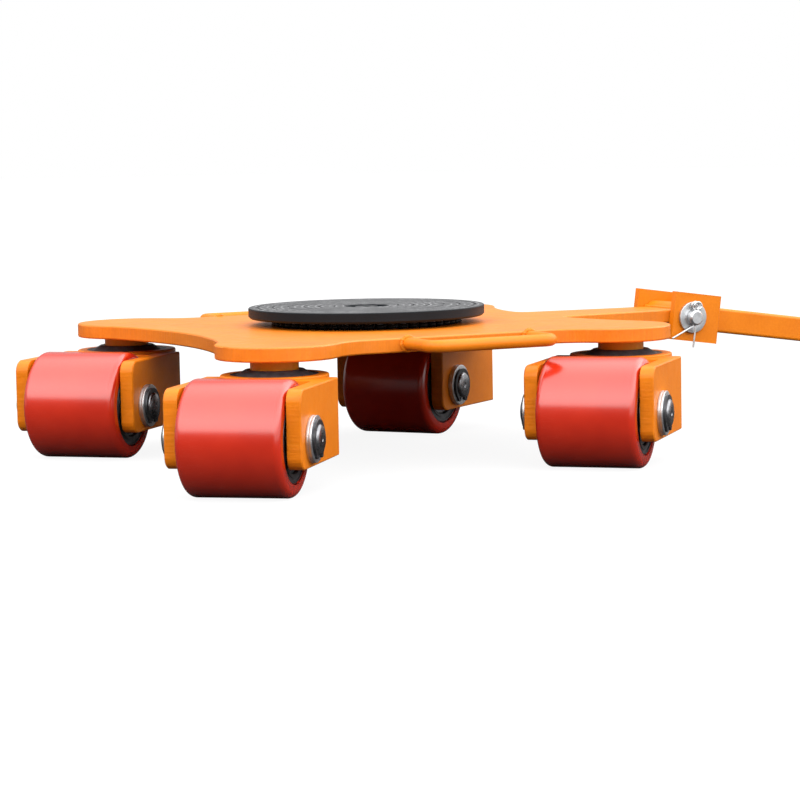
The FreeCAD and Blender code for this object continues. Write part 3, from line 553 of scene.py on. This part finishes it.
# The cut edge of a fork's cheeks and of the deck plate lies between these two heights of its own frame
fork_paint = material(
    "orange enamel on the forks", enamel(ORANGE_DEEP, ORANGE_LIGHT, 0.0377, 0.0473), **ENAMEL_SHEEN
)
plate_paint = material(
    "orange enamel on the plate", enamel(ORANGE_DEEP, ORANGE_LIGHT, 0.0142, 0.0233),
    Specular_IOR_Level=0.4, Coat_Weight=0.1, Coat_Roughness=0.2,
)
# The king pins' collars take a lighter, yellower copy of the orange enamel: painted light that offsets the red light
# the rollers throw on them in the shade under the deck
shade_tinted_collar_paint = material(
    "orange enamel tinted for the king pins' shade", enamel((0.7, 0.27, 0.003), (0.78, 0.31, 0.005)), **ENAMEL_SHEEN
)


def finish_of(node, slot):
    """The finish of a slot, with its own variant of the enamel for some nodes."""
    if node == "deck_plate":
        return plate_paint
    # The king pins get the copy of the enamel that paints in light for the shade they sit in
    if node == "king_pins":
        return shade_tinted_collar_paint
    if node and node.endswith("_fork"):
        return fork_paint
    return finishes[slot]


# Geometry trees

def geometry_tree(name, inputs):
    """An empty geometry tree with a mesh in, a mesh out and named inputs."""
    tree = bpy.data.node_groups.new(name, "GeometryNodeTree")
    tree.interface.new_socket("Geometry", in_out="INPUT", socket_type="NodeSocketGeometry")
    for title, kind, value in inputs:
        socket = tree.interface.new_socket(title, in_out="INPUT", socket_type="NodeSocket" + kind)
        if value is not None:
            socket.default_value = value
    tree.interface.new_socket("Geometry", in_out="OUTPUT", socket_type="NodeSocketGeometry")
    graph = Graph(tree)
    return tree, graph, graph.add("NodeGroupInput").outputs


def close_tree(graph, geometry, finish):
    """Ends a tree in real faces with one finish."""
    real = graph.add("GeometryNodeRealizeInstances", {0: geometry}).outputs[0]
    smooth = graph.add("GeometryNodeSetShadeSmooth", {"Geometry": real}).outputs[0]
    dressed_up = graph.add("GeometryNodeSetMaterial", {"Geometry": smooth, "Material": finish}).outputs[0]
    graph.tree.links.new(dressed_up, graph.add("NodeGroupOutput").inputs[0])


def grown(name, tree, values, mesh=None):
    """Runs a geometry tree on a mesh and gives back the plain mesh it makes."""
    holder = bpy.data.objects.new(name, mesh or bpy.data.meshes.new(name))
    bpy.context.scene.collection.objects.link(holder)
    modifier = holder.modifiers.new(name, "NODES")
    modifier.node_group = tree
    for item in tree.interface.items_tree:
        if item.item_type == "SOCKET" and item.in_out == "INPUT" and item.name in values:
            modifier[item.identifier] = values[item.name]
    finished(holder)
    made = holder.data
    bpy.data.objects.remove(holder)
    return made


def ring_of(graph, count, radius, shape, height):
    """Copies of a shape in a ring about the upright axis, at a height."""
    circle = graph.add("GeometryNodeMeshCircle", {"Vertices": count, "Radius": radius}).outputs[0]
    row = graph.add("GeometryNodeInstanceOnPoints", {"Points": circle, "Instance": shape}).outputs[0]
    lift = graph.add("ShaderNodeCombineXYZ", {2: height}).outputs[0]
    return graph.add("GeometryNodeTransform", {"Geometry": row, "Translation": lift}).outputs[0]


def ball_row_tree():
    """The turntable's balls."""
    tree, graph, given = geometry_tree("ball row", [
        ("Balls", "Int", BALL_COUNT), ("Race Radius", "Float", RACE_RADIUS), ("Ball Radius", "Float", BALL_RADIUS),
        ("Height", "Float", RACE_HEIGHT), ("Finish", "Material", None),
    ])
    ball = graph.add("GeometryNodeMeshUVSphere", {
        "Segments": 16, "Rings": 10, "Radius": given["Ball Radius"],
    }).outputs[0]
    raised = ring_of(graph, given["Balls"], given["Race Radius"], ball, given["Height"])
    close_tree(graph, raised, given["Finish"])
    return tree


def cage_tree():
    """A band with a round pocket wall standing out at every ball."""
    tree, graph, given = geometry_tree("ball cage", [
        ("Pockets", "Int", BALL_COUNT), ("Race Radius", "Float", RACE_RADIUS), ("Pocket Radius", "Float", 0.0041),
        ("Depth", "Float", 0.0032), ("Height", "Float", RACE_HEIGHT - 0.0008), ("Finish", "Material", None),
    ])
    pocket = graph.add("GeometryNodeMeshCone", {
        "Vertices": 18, "Radius Top": graph.math("MULTIPLY", given["Pocket Radius"], 0.93),
        "Radius Bottom": given["Pocket Radius"], "Depth": given["Depth"],
    }).outputs[0]
    middle = graph.math("SUBTRACT", given["Height"], graph.math("MULTIPLY", given["Depth"], 0.5))
    raised = ring_of(graph, given["Pockets"], given["Race Radius"], pocket, middle)
    whole = graph.add("GeometryNodeJoinGeometry").inputs[0]
    graph.tree.links.new(raised, whole)
    graph.tree.links.new(given["Geometry"], whole)
    close_tree(graph, whole.node.outputs[0], given["Finish"])
    return tree


def weld_tree():
    """Overlapping ripples laid along an edge path."""
    tree, graph, given = geometry_tree("weld bead", [
        ("Ripple Pitch", "Float", 0.0014), ("Ripple Length", "Float", 0.0014), ("Width", "Float", 0.0026),
        ("Height", "Float", 0.0016), ("Seed", "Int", 3), ("Finish", "Material", None),
    ])
    path = graph.add("GeometryNodeMeshToCurve", {0: given["Geometry"]}).outputs[0]
    points = graph.add("GeometryNodeResampleCurve", {
        "Curve": path, "Length": given["Ripple Pitch"],
    }, mode="LENGTH").outputs[0]
    ripple = graph.add("GeometryNodeMeshUVSphere", {"Segments": 10, "Rings": 6, "Radius": 1.0}).outputs[0]
    tangent = graph.add("GeometryNodeInputTangent").outputs[0]
    turn = graph.add("FunctionNodeAlignRotationToVector", {"Vector": tangent}, axis="X").outputs[0]
    size = graph.add("ShaderNodeCombineXYZ", {
        0: given["Ripple Length"], 1: given["Width"], 2: given["Height"],
    }).outputs[0]
    wander = graph.add("FunctionNodeRandomValue", {
        2: 0.88, 3: 1.1, "Seed": given["Seed"],
    }, data_type="FLOAT").outputs[1]
    scale = graph.add("ShaderNodeVectorMath", {0: size, "Scale": wander}, operation="SCALE").outputs[0]
    row = graph.add("GeometryNodeInstanceOnPoints", {
        "Points": points, "Instance": ripple, "Rotation": turn, "Scale": scale,
    }).outputs[0]
    close_tree(graph, row, given["Finish"])
    return tree


def path_mesh(points, closed):
    """Points joined by edges."""
    count = len(points)
    edges = [(index, (index + 1) % count) for index in range(count if closed else count - 1)]
    mesh = bpy.data.meshes.new("path")
    mesh.from_pydata([tuple(point) for point in points], edges, [])
    return mesh


def circle_points(centre, radius, axis, steps=32):
    """Points around a circle about an axis."""
    z = Vector(axis).normalized()
    x = z.orthogonal().normalized()
    y = z.cross(x)
    points = []
    for step in range(steps):
        angle = math.radians(360.0 * step / steps)
        points.append(Vector(centre) + (x * math.cos(angle) + y * math.sin(angle)) * radius)
    return points


# Pieces that take the CAD's shape as it is, and those built anew further down
REBUILT = (
    "ball_cage", "split_pin", "axle_washers", "tow_washers", "wheel_bearings", "core", "tyre", "axle",
    "king_nuts", "swivel_seal",
)
EASED_EDGES = {
    "axle_circlips": 0.0002, "king_washers": 0.0004, "keeper_washer": 0.0003, "grip": 0.0003,
    "axle_spacers": 0.0003,
}

for node in sorted(frame["nodes"]):
    if node.endswith(REBUILT):
        continue
    edge = 0.0
    for ending, width in EASED_EDGES.items():
        if node.endswith(ending):
            edge = width
    dressed(node, edge)


# Turntable ball race
balls = grown("ball row", ball_row_tree(), {"Finish": finishes["zinc_steel"]})
placed("race_balls", balls, "bearing_steel", "ball_ring")

cage_profile = eased([
    (RACE_RADIUS - 0.0059, RACE_HEIGHT - 0.0023), (RACE_RADIUS + 0.001, RACE_HEIGHT - 0.0023),
    (RACE_RADIUS + 0.001, RACE_HEIGHT + 0.001), (RACE_RADIUS - 0.0059, RACE_HEIGHT + 0.001),
], 0.0004)
cage_band = lathed(cage_profile, (0, 0, 0), (0, 0, 1), 150)
shaded(cage_band)
cage = grown("ball cage", cage_tree(), {"Finish": finishes["black_cage"]}, cage_band)
placed("race_cage", cage, "black_cage", "ball_ring", ["ball_cage"], like="ball_cage")


# Rollers and axles, turned about their own axes
ROLLER_RADIUS = 0.04
CORE_RADIUS = 0.031
BEARING_RADIUS = 0.0235
HALF_ROLLER = 0.0365
SHOULDER = 0.0052
SHOULDER_STEPS = 12
HALF_FORK = 0.0475
AXLE_RADIUS = 0.01
AXLE_END = HALF_FORK + 0.0075
CLIP_GROOVE = (HALF_FORK + 0.004, HALF_FORK + 0.004 + 0.00175)
WASHER_RADIUS = 0.016
WASHER = 0.002


def both_ends(profiles, centre, axis):
    """Turned meshes at one end of an axis, and the same at its other end."""
    meshes = []
    for profile in profiles:
        for side in (-1, 1):
            meshes.append(lathed([(radius, along * side) for radius, along in profile], centre, axis))
    return joined(meshes)


def washer_outline(inner, outer, start, end, rounding=0.00045):
    """A flat ring's outline with rounded edges."""
    return eased([(inner, start), (outer, start), (outer, end), (inner, end)], rounding)


def turned_piece(name, mesh, node):
    """A piece that stands for one CAD node, with its slot's finish and its body."""
    shaded(mesh)
    return placed(name, mesh, slot_of[node], body_of[node], [node], like=node)


for caster in CASTERS:
    roll = joint_of[caster + "_roll"]
    centre, axis = roll["pos_m"], roll["axis"]

    shoulder = []
    for step in range(SHOULDER_STEPS + 1):
        angle = math.radians(90 * step / SHOULDER_STEPS)
        radius = ROLLER_RADIUS - SHOULDER * (1 - math.sin(angle))
        shoulder.append((radius, HALF_ROLLER - SHOULDER * (1 - math.cos(angle))))
    tyre = [(CORE_RADIUS, -HALF_ROLLER)] + [(radius, -along) for radius, along in shoulder]
    tyre += list(reversed(shoulder)) + [(CORE_RADIUS, HALF_ROLLER)]
    turned_piece(caster + "_tread", lathed(tyre, centre, axis, 160), caster + "_tyre")

    end = HALF_ROLLER - 0.001
    seat = end - 0.016
    core = [
        (0.019, -seat), (BEARING_RADIUS, -seat), (BEARING_RADIUS, -end + 0.0006), (0.0241, -end),
        (0.0262, -end), (0.0264, -end + 0.0006), (0.0286, -end + 0.0006), (0.0288, -end),
        (0.0298, -end), (CORE_RADIUS, -end + 0.0012),
    ]
    core += [(radius, -along) for radius, along in reversed(core)]
    turned_piece(caster + "_hub", lathed(core, centre, axis), caster + "_core")

    outer_end = end - 0.002
    bearing = [
        (0.01005, seat), (BEARING_RADIUS, seat), (BEARING_RADIUS, outer_end - 0.0006),
        (0.0229, outer_end), (0.0206, outer_end), (0.0204, outer_end - 0.0005),
        (0.0201, outer_end - 0.0007), (0.0146, outer_end - 0.0007), (0.0143, outer_end - 0.0004),
        (0.0141, outer_end), (0.0106, outer_end), (0.01005, outer_end - 0.0006),
    ]
    turned_piece(caster + "_bearings", both_ends([bearing], centre, axis), caster + "_wheel_bearings")

    washers = [
        washer_outline(AXLE_RADIUS, WASHER_RADIUS, HALF_FORK, HALF_FORK + WASHER),
        washer_outline(AXLE_RADIUS, WASHER_RADIUS, HALF_FORK + WASHER, HALF_FORK + 2 * WASHER),
    ]
    turned_piece(caster + "_washer_pairs", both_ends(washers, centre, axis), caster + "_axle_washers")

    groove_start, groove_end = CLIP_GROOVE
    half_shaft = [
        (0.0, AXLE_END - 0.0004), (0.0016, AXLE_END - 0.0004), (0.0021, AXLE_END), (0.0083, AXLE_END),
        (0.0089, AXLE_END - 0.0003), (0.0099, AXLE_END - 0.0013), (AXLE_RADIUS, AXLE_END - 0.0017),
        (AXLE_RADIUS, groove_end), (0.0095, groove_end), (0.0095, groove_start), (AXLE_RADIUS, groove_start),
    ]
    shaft = [(radius, -along) for radius, along in half_shaft] + list(reversed(half_shaft))
    turned_piece(caster + "_shaft", lathed(shaft, centre, axis), caster + "_axle")

    swivel = joint_of[caster + "_swivel"]["pos_m"]
    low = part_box(caster + "_swivel_seal")[0].z
    seal = [
        (0.0173, low), (0.031, low), (0.031, low + 0.0012), (0.0304, low + 0.0012), (0.03, low + 0.0009),
        (0.0268, low + 0.0009), (0.0263, low + 0.0013), (0.0255, low + 0.0017), (0.0213, low + 0.0041),
        (0.0207, low + 0.0045), (0.0179, low + 0.0045), (0.0173, low + 0.0041),
    ]
    lip_seal = lathed(seal, (swivel[0], swivel[1], 0.0), (0, 0, 1))
    turned_piece(caster + "_lip_seal", lip_seal, caster + "_swivel_seal")


# King nuts: hexagon nuts with turned-down corners and chamfered bores
NUT_ACROSS_FLATS = 0.036
NUT_BORE = 0.012
NUT_CHAMFER = 0.0014
NUT_FACE = 0.985
NUT_STEPS = 72
BORE_CHAMFER = 0.0008


def nut_mesh(centre, bottom, top):
    """A hexagon nut about the upright axis."""
    flat = NUT_ACROSS_FLATS / 2

    def hexagon(angle):
        nearest = (angle + math.radians(30)) % math.radians(60) - math.radians(30)
        return flat / math.cos(math.radians(30) - abs(nearest))

    def face(angle):
        return min(hexagon(angle), flat * NUT_FACE)

    levels = [
        (bottom, face), (bottom + NUT_CHAMFER, hexagon), (top - NUT_CHAMFER, hexagon), (top, face),
        (top, lambda angle: NUT_BORE + BORE_CHAMFER), (top - BORE_CHAMFER, lambda angle: NUT_BORE),
        (bottom + BORE_CHAMFER, lambda angle: NUT_BORE), (bottom, lambda angle: NUT_BORE + BORE_CHAMFER),
    ]
    b = bmesh.new()
    rings = []
    for height, reach in levels:
        ring = []
        for step in range(NUT_STEPS):
            angle = 2 * math.pi * step / NUT_STEPS
            radius = reach(angle)
            place = (centre[0] + radius * math.cos(angle), centre[1] + radius * math.sin(angle), height)
            ring.append(b.verts.new(place))
        rings.append(ring)
    for index, ring in enumerate(rings):
        following = rings[(index + 1) % len(rings)]
        for step in range(NUT_STEPS):
            after = (step + 1) % NUT_STEPS
            b.faces.new((ring[step], ring[after], following[after], following[step]))
    bmesh.ops.recalc_face_normals(b, faces=b.faces)
    mesh = bpy.data.meshes.new("nut")
    b.to_mesh(mesh)
    b.free()
    return mesh


nut_low, nut_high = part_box("king_nuts")
nuts = []
for x_sign in (-1, 1):
    for y_sign in (-1, 1):
        nuts.append(nut_mesh((x_sign * PIVOT, y_sign * PIVOT), nut_low.z, nut_high.z))
turned_piece("castle_nuts", joined(nuts), "king_nuts")


# Tow washers
lift = joint_of["towbar_lift"]
tow_washers = both_ends([washer_outline(0.006, 0.0125, 0.031, 0.0335, 0.0005)], lift["pos_m"], (0, 1, 0))
turned_piece("tow_pin_washers", tow_washers, "tow_washers")


# Split pin
def wire(name, points, radius):
    """A round wire along a smooth line through points, as a mesh."""
    curve = bpy.data.curves.new(name, "CURVE")
    curve.dimensions = "3D"
    curve.bevel_depth = radius
    curve.bevel_resolution = 3
    curve.use_fill_caps = True
    curve.resolution_u = 4
    spline = curve.splines.new("NURBS")
    spline.points.add(len(points) - 1)
    for target, point in zip(spline.points, points):
        target.co = (*point, 1.0)
    spline.order_u = 3
    spline.use_endpoint_u = True
    holder = bpy.data.objects.new(name, curve)
    bpy.context.scene.collection.objects.link(holder)
    bpy.context.view_layer.update()
    mesh = bpy.data.meshes.new_from_object(holder.evaluated_get(bpy.context.evaluated_depsgraph_get()))
    bpy.data.objects.remove(holder)
    for face in mesh.polygons:
        face.use_smooth = True
    return mesh


DROOP = math.radians(7.793)
PIN_Y = -0.0365
EYE_RADIUS = 0.0027
EYE_HEIGHT = 0.0098
EYE_STEPS = 30
WIRE_RADIUS = 0.0008
LEG_BEND = math.radians(58)


def at_tow_pin(point):
    """From the drawbar's own frame, with the bar along X, to its place lying down."""
    turned_down = Matrix.Rotation(DROOP, 3, "Y") @ Vector(point)
    return turned_down + Vector(lift["pos_m"])


def split_pin_path():
    """Up through the tow pin, twice round the eye, down again and out along the bent leg."""
    points = [(0.00085, 0, height) for height in (-0.024, -0.016, -0.007, 0.0, 0.0062)]
    for step in range(EYE_STEPS + 1):
        t = step / EYE_STEPS
        angle = math.radians(-60 + t * 660)
        across = 0.0017 * (1 - 2 * t) + EYE_RADIUS * math.cos(angle)
        points.append((across, -0.001 + 0.002 * t, EYE_HEIGHT + EYE_RADIUS * math.sin(angle)))
    points += [(-0.00085, 0, 0.0062), (-0.00085, 0, 0.0), (-0.00085, 0, -0.0055), (-0.001, 0, -0.0068)]
    for step in range(1, 5):
        along = 0.0055 * step
        points.append((-0.001 - math.sin(LEG_BEND) * along, 0, -0.0068 - math.cos(LEG_BEND) * along))
    return [at_tow_pin((x, y + PIN_Y, z)) for x, y, z in points]


pin_wire = wire("split pin wire", split_pin_path(), WIRE_RADIUS)
turned_piece("split_pin_wire", pin_wire, "split_pin")


# Welds: where their lines run
HANDLE_ROD_RADIUS = 0.0045
HANDLE_ROOT_Y = 0.1524
TUBE_SEAM = 0.0235
BAR_SIDE = 0.0095
GRIP_SEAM = 0.0088
CHEEK_INSIDE = 0.0373
BRIDGE_UNDER = FLOOR + 0.06
CHEEK_SEAM_LOW = FLOOR + 0.0225
bead_tree = weld_tree()


def bead(name, paths, body, size):
    """Weld beads along one or more lines of points, as one piece."""
    values = {
        "Ripple Pitch": size * 0.85, "Ripple Length": size * 1.1, "Width": size, "Height": size,
        "Finish": finishes["orange_paint"],
    }
    meshes = [grown(name, bead_tree, values, path_mesh(points, closed)) for points, closed in paths]
    placed(name, joined(meshes), "orange_paint", body)


for node, sign in (("carry_handle_left", 1), ("carry_handle_right", -1)):
    low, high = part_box(node)
    roots = []
    for x in (low.x + HANDLE_ROD_RADIUS, high.x - HANDLE_ROD_RADIUS):
        centre = (x, sign * HANDLE_ROOT_Y, (low.z + high.z) / 2)
        roots.append((circle_points(centre, HANDLE_ROD_RADIUS + 0.0002, (0, 1, 0)), True))
    bead(node + "_welds", roots, "root", 0.0017)

bead("tow_tube_welds", [
    ([(0.2661, -TUBE_SEAM, DECK_TOP), (0.2661, TUBE_SEAM, DECK_TOP)], False),
    ([(0.26475, -TUBE_SEAM, DECK_BOTTOM), (0.26475, TUBE_SEAM, DECK_BOTTOM)], False),
], "root", 0.0016)

bar_seams = []
for along, half in ((0.0278, BAR_SIDE), (0.5795, GRIP_SEAM)):
    corners = ((-BAR_SIDE, -half), (BAR_SIDE, -half), (BAR_SIDE, half), (-BAR_SIDE, half))
    bar_seams.append(([at_tow_pin((along, y, z)) for y, z in corners], True))
bead("drawbar_welds", bar_seams, "towbar", 0.0013)


def at_fork(caster, x, y, height):
    """From a fork's own frame, with X towards its roller, to its place."""
    axis = joint_of[caster + "_roll"]["axis"]
    pivot = joint_of[caster + "_swivel"]["pos_m"]
    return (pivot[0] + x * axis[1] + y * axis[0], pivot[1] - x * axis[0] + y * axis[1], height)


for caster in CASTERS:
    seams = []
    for side in (-1, 1):
        y = side * CHEEK_INSIDE
        for start, end in ((0.009, 0.0245), (0.0331, 0.0396)):
            seams.append(([at_fork(caster, x, y, BRIDGE_UNDER) for x in (start, end)], False))
        for x in (0.025, 0.0331):
            seams.append(([at_fork(caster, x, y, z) for z in (CHEEK_SEAM_LOW, BRIDGE_UNDER - 0.001)], False))
    bead(caster + "_fork_welds", seams, "caster_" + caster, 0.0014)


# Floor, light and camera
def white_for_the_camera(graph, shader, amount):
    """Lets the camera, also through clear pieces, see white in place of part of what the shader shows."""
    light_path = graph.add("ShaderNodeLightPath").outputs
    seen = graph.math("MAXIMUM", light_path["Is Camera Ray"], light_path["Is Transmission Ray"])
    white = graph.add("ShaderNodeEmission", {"Color": (1, 1, 1, 1), "Strength": 1.0}).outputs[0]
    return graph.add("ShaderNodeMixShader", {0: graph.math("MULTIPLY", seen, amount), 1: shader, 2: white}).outputs[0]


def make_floor():
    """A pale floor that throws little light back at the skate and keeps its shadow."""
    b = bmesh.new()
    bmesh.ops.create_circle(b, cap_ends=True, segments=96, radius=FLOOR_RADIUS)
    bmesh.ops.translate(b, verts=b.verts, vec=(0, 0, FLOOR))
    mesh = bpy.data.meshes.new("floor")
    b.to_mesh(mesh)
    b.free()
    floor = bpy.data.objects.new("floor", mesh)
    bpy.context.scene.collection.objects.link(floor)
    made = bpy.data.materials.new("pale floor")
    made.use_nodes = True
    graph = Graph(made.node_tree)
    camera_ray = graph.add("ShaderNodeLightPath").outputs["Is Camera Ray"]
    shade = graph.tint(camera_ray, (FLOOR_BOUNCE,) * 3 + (1,), (0.9, 0.9, 0.9, 1))
    matt = graph.add("ShaderNodeBsdfDiffuse", {"Color": shade}).outputs[0]
    shown = white_for_the_camera(graph, matt, 0.9)
    graph.tree.links.new(shown, graph.add("ShaderNodeOutputMaterial").inputs[0])
    mesh.materials.append(made)


def make_world():
    """A soft studio: bright above and in front, dim behind, and darkest low down on its dark side."""
    world = bpy.data.worlds.new("studio")
    bpy.context.scene.world = world
    world.use_nodes = True
    graph = Graph(world.node_tree)
    light_path = graph.add("ShaderNodeLightPath").outputs
    direction = graph.add("ShaderNodeTexCoord").outputs["Generated"]
    height = graph.add("ShaderNodeSeparateXYZ", {0: direction}).outputs[2]
    ahead = graph.ramp(graph.vector("DOT_PRODUCT", direction, STUDIO_FRONT).outputs["Value"], -0.75, -0.05)
    high = graph.mixed(ahead, STUDIO_BACK, graph.ramp(height, 0.3, 0.85, *STUDIO_HIGH))
    high = graph.mixed(graph.ramp(height, 0.55, 1.0), high, STUDIO_TOP)
    aside = graph.vector("DOT_PRODUCT", direction, STUDIO_DARK).outputs["Value"]
    low = graph.mixed(ahead, STUDIO_BACK, graph.ramp(aside, 0.86, 0.5, STUDIO_LOW, STUDIO_SIDE))
    level = graph.mixed(graph.ramp(height, 0.25, 0.32), low, high)
    level = graph.mixed(light_path["Is Camera Ray"], level, 1.0)
    shown = graph.add("ShaderNodeBackground", {"Color": (1, 1, 1, 1), "Strength": level}).outputs[0]
    graph.tree.links.new(shown, graph.add("ShaderNodeOutputWorld").inputs[0])


def make_camera():
    """The camera at the photograph's view."""
    yaw, pitch, roll = (math.radians(angle) for angle in (CAMERA_YAW, CAMERA_PITCH, CAMERA_ROLL))
    ahead = Vector((-math.sin(yaw) * math.cos(pitch), math.cos(yaw) * math.cos(pitch), -math.sin(pitch)))
    right = Vector((math.cos(yaw), math.sin(yaw), 0))
    up = right.cross(ahead)
    right, up = right * math.cos(roll) + up * math.sin(roll), up * math.cos(roll) - right * math.sin(roll)
    data = bpy.data.cameras.new("camera")
    data.lens = CAMERA_LENS
    data.sensor_width = 36.0
    data.shift_x, data.shift_y = CAMERA_SHIFT
    data.clip_start = 0.01
    data.clip_end = 60.0
    camera = bpy.data.objects.new("camera", data)
    bpy.context.scene.collection.objects.link(camera)
    turn = Matrix((right, up, -ahead)).transposed().to_4x4()
    camera.matrix_world = Matrix.Translation(CAMERA_PLACE) @ turn
    bpy.context.scene.camera = camera


make_floor()
make_world()
make_camera()
bpy.context.scene.view_settings.view_transform = "Standard"
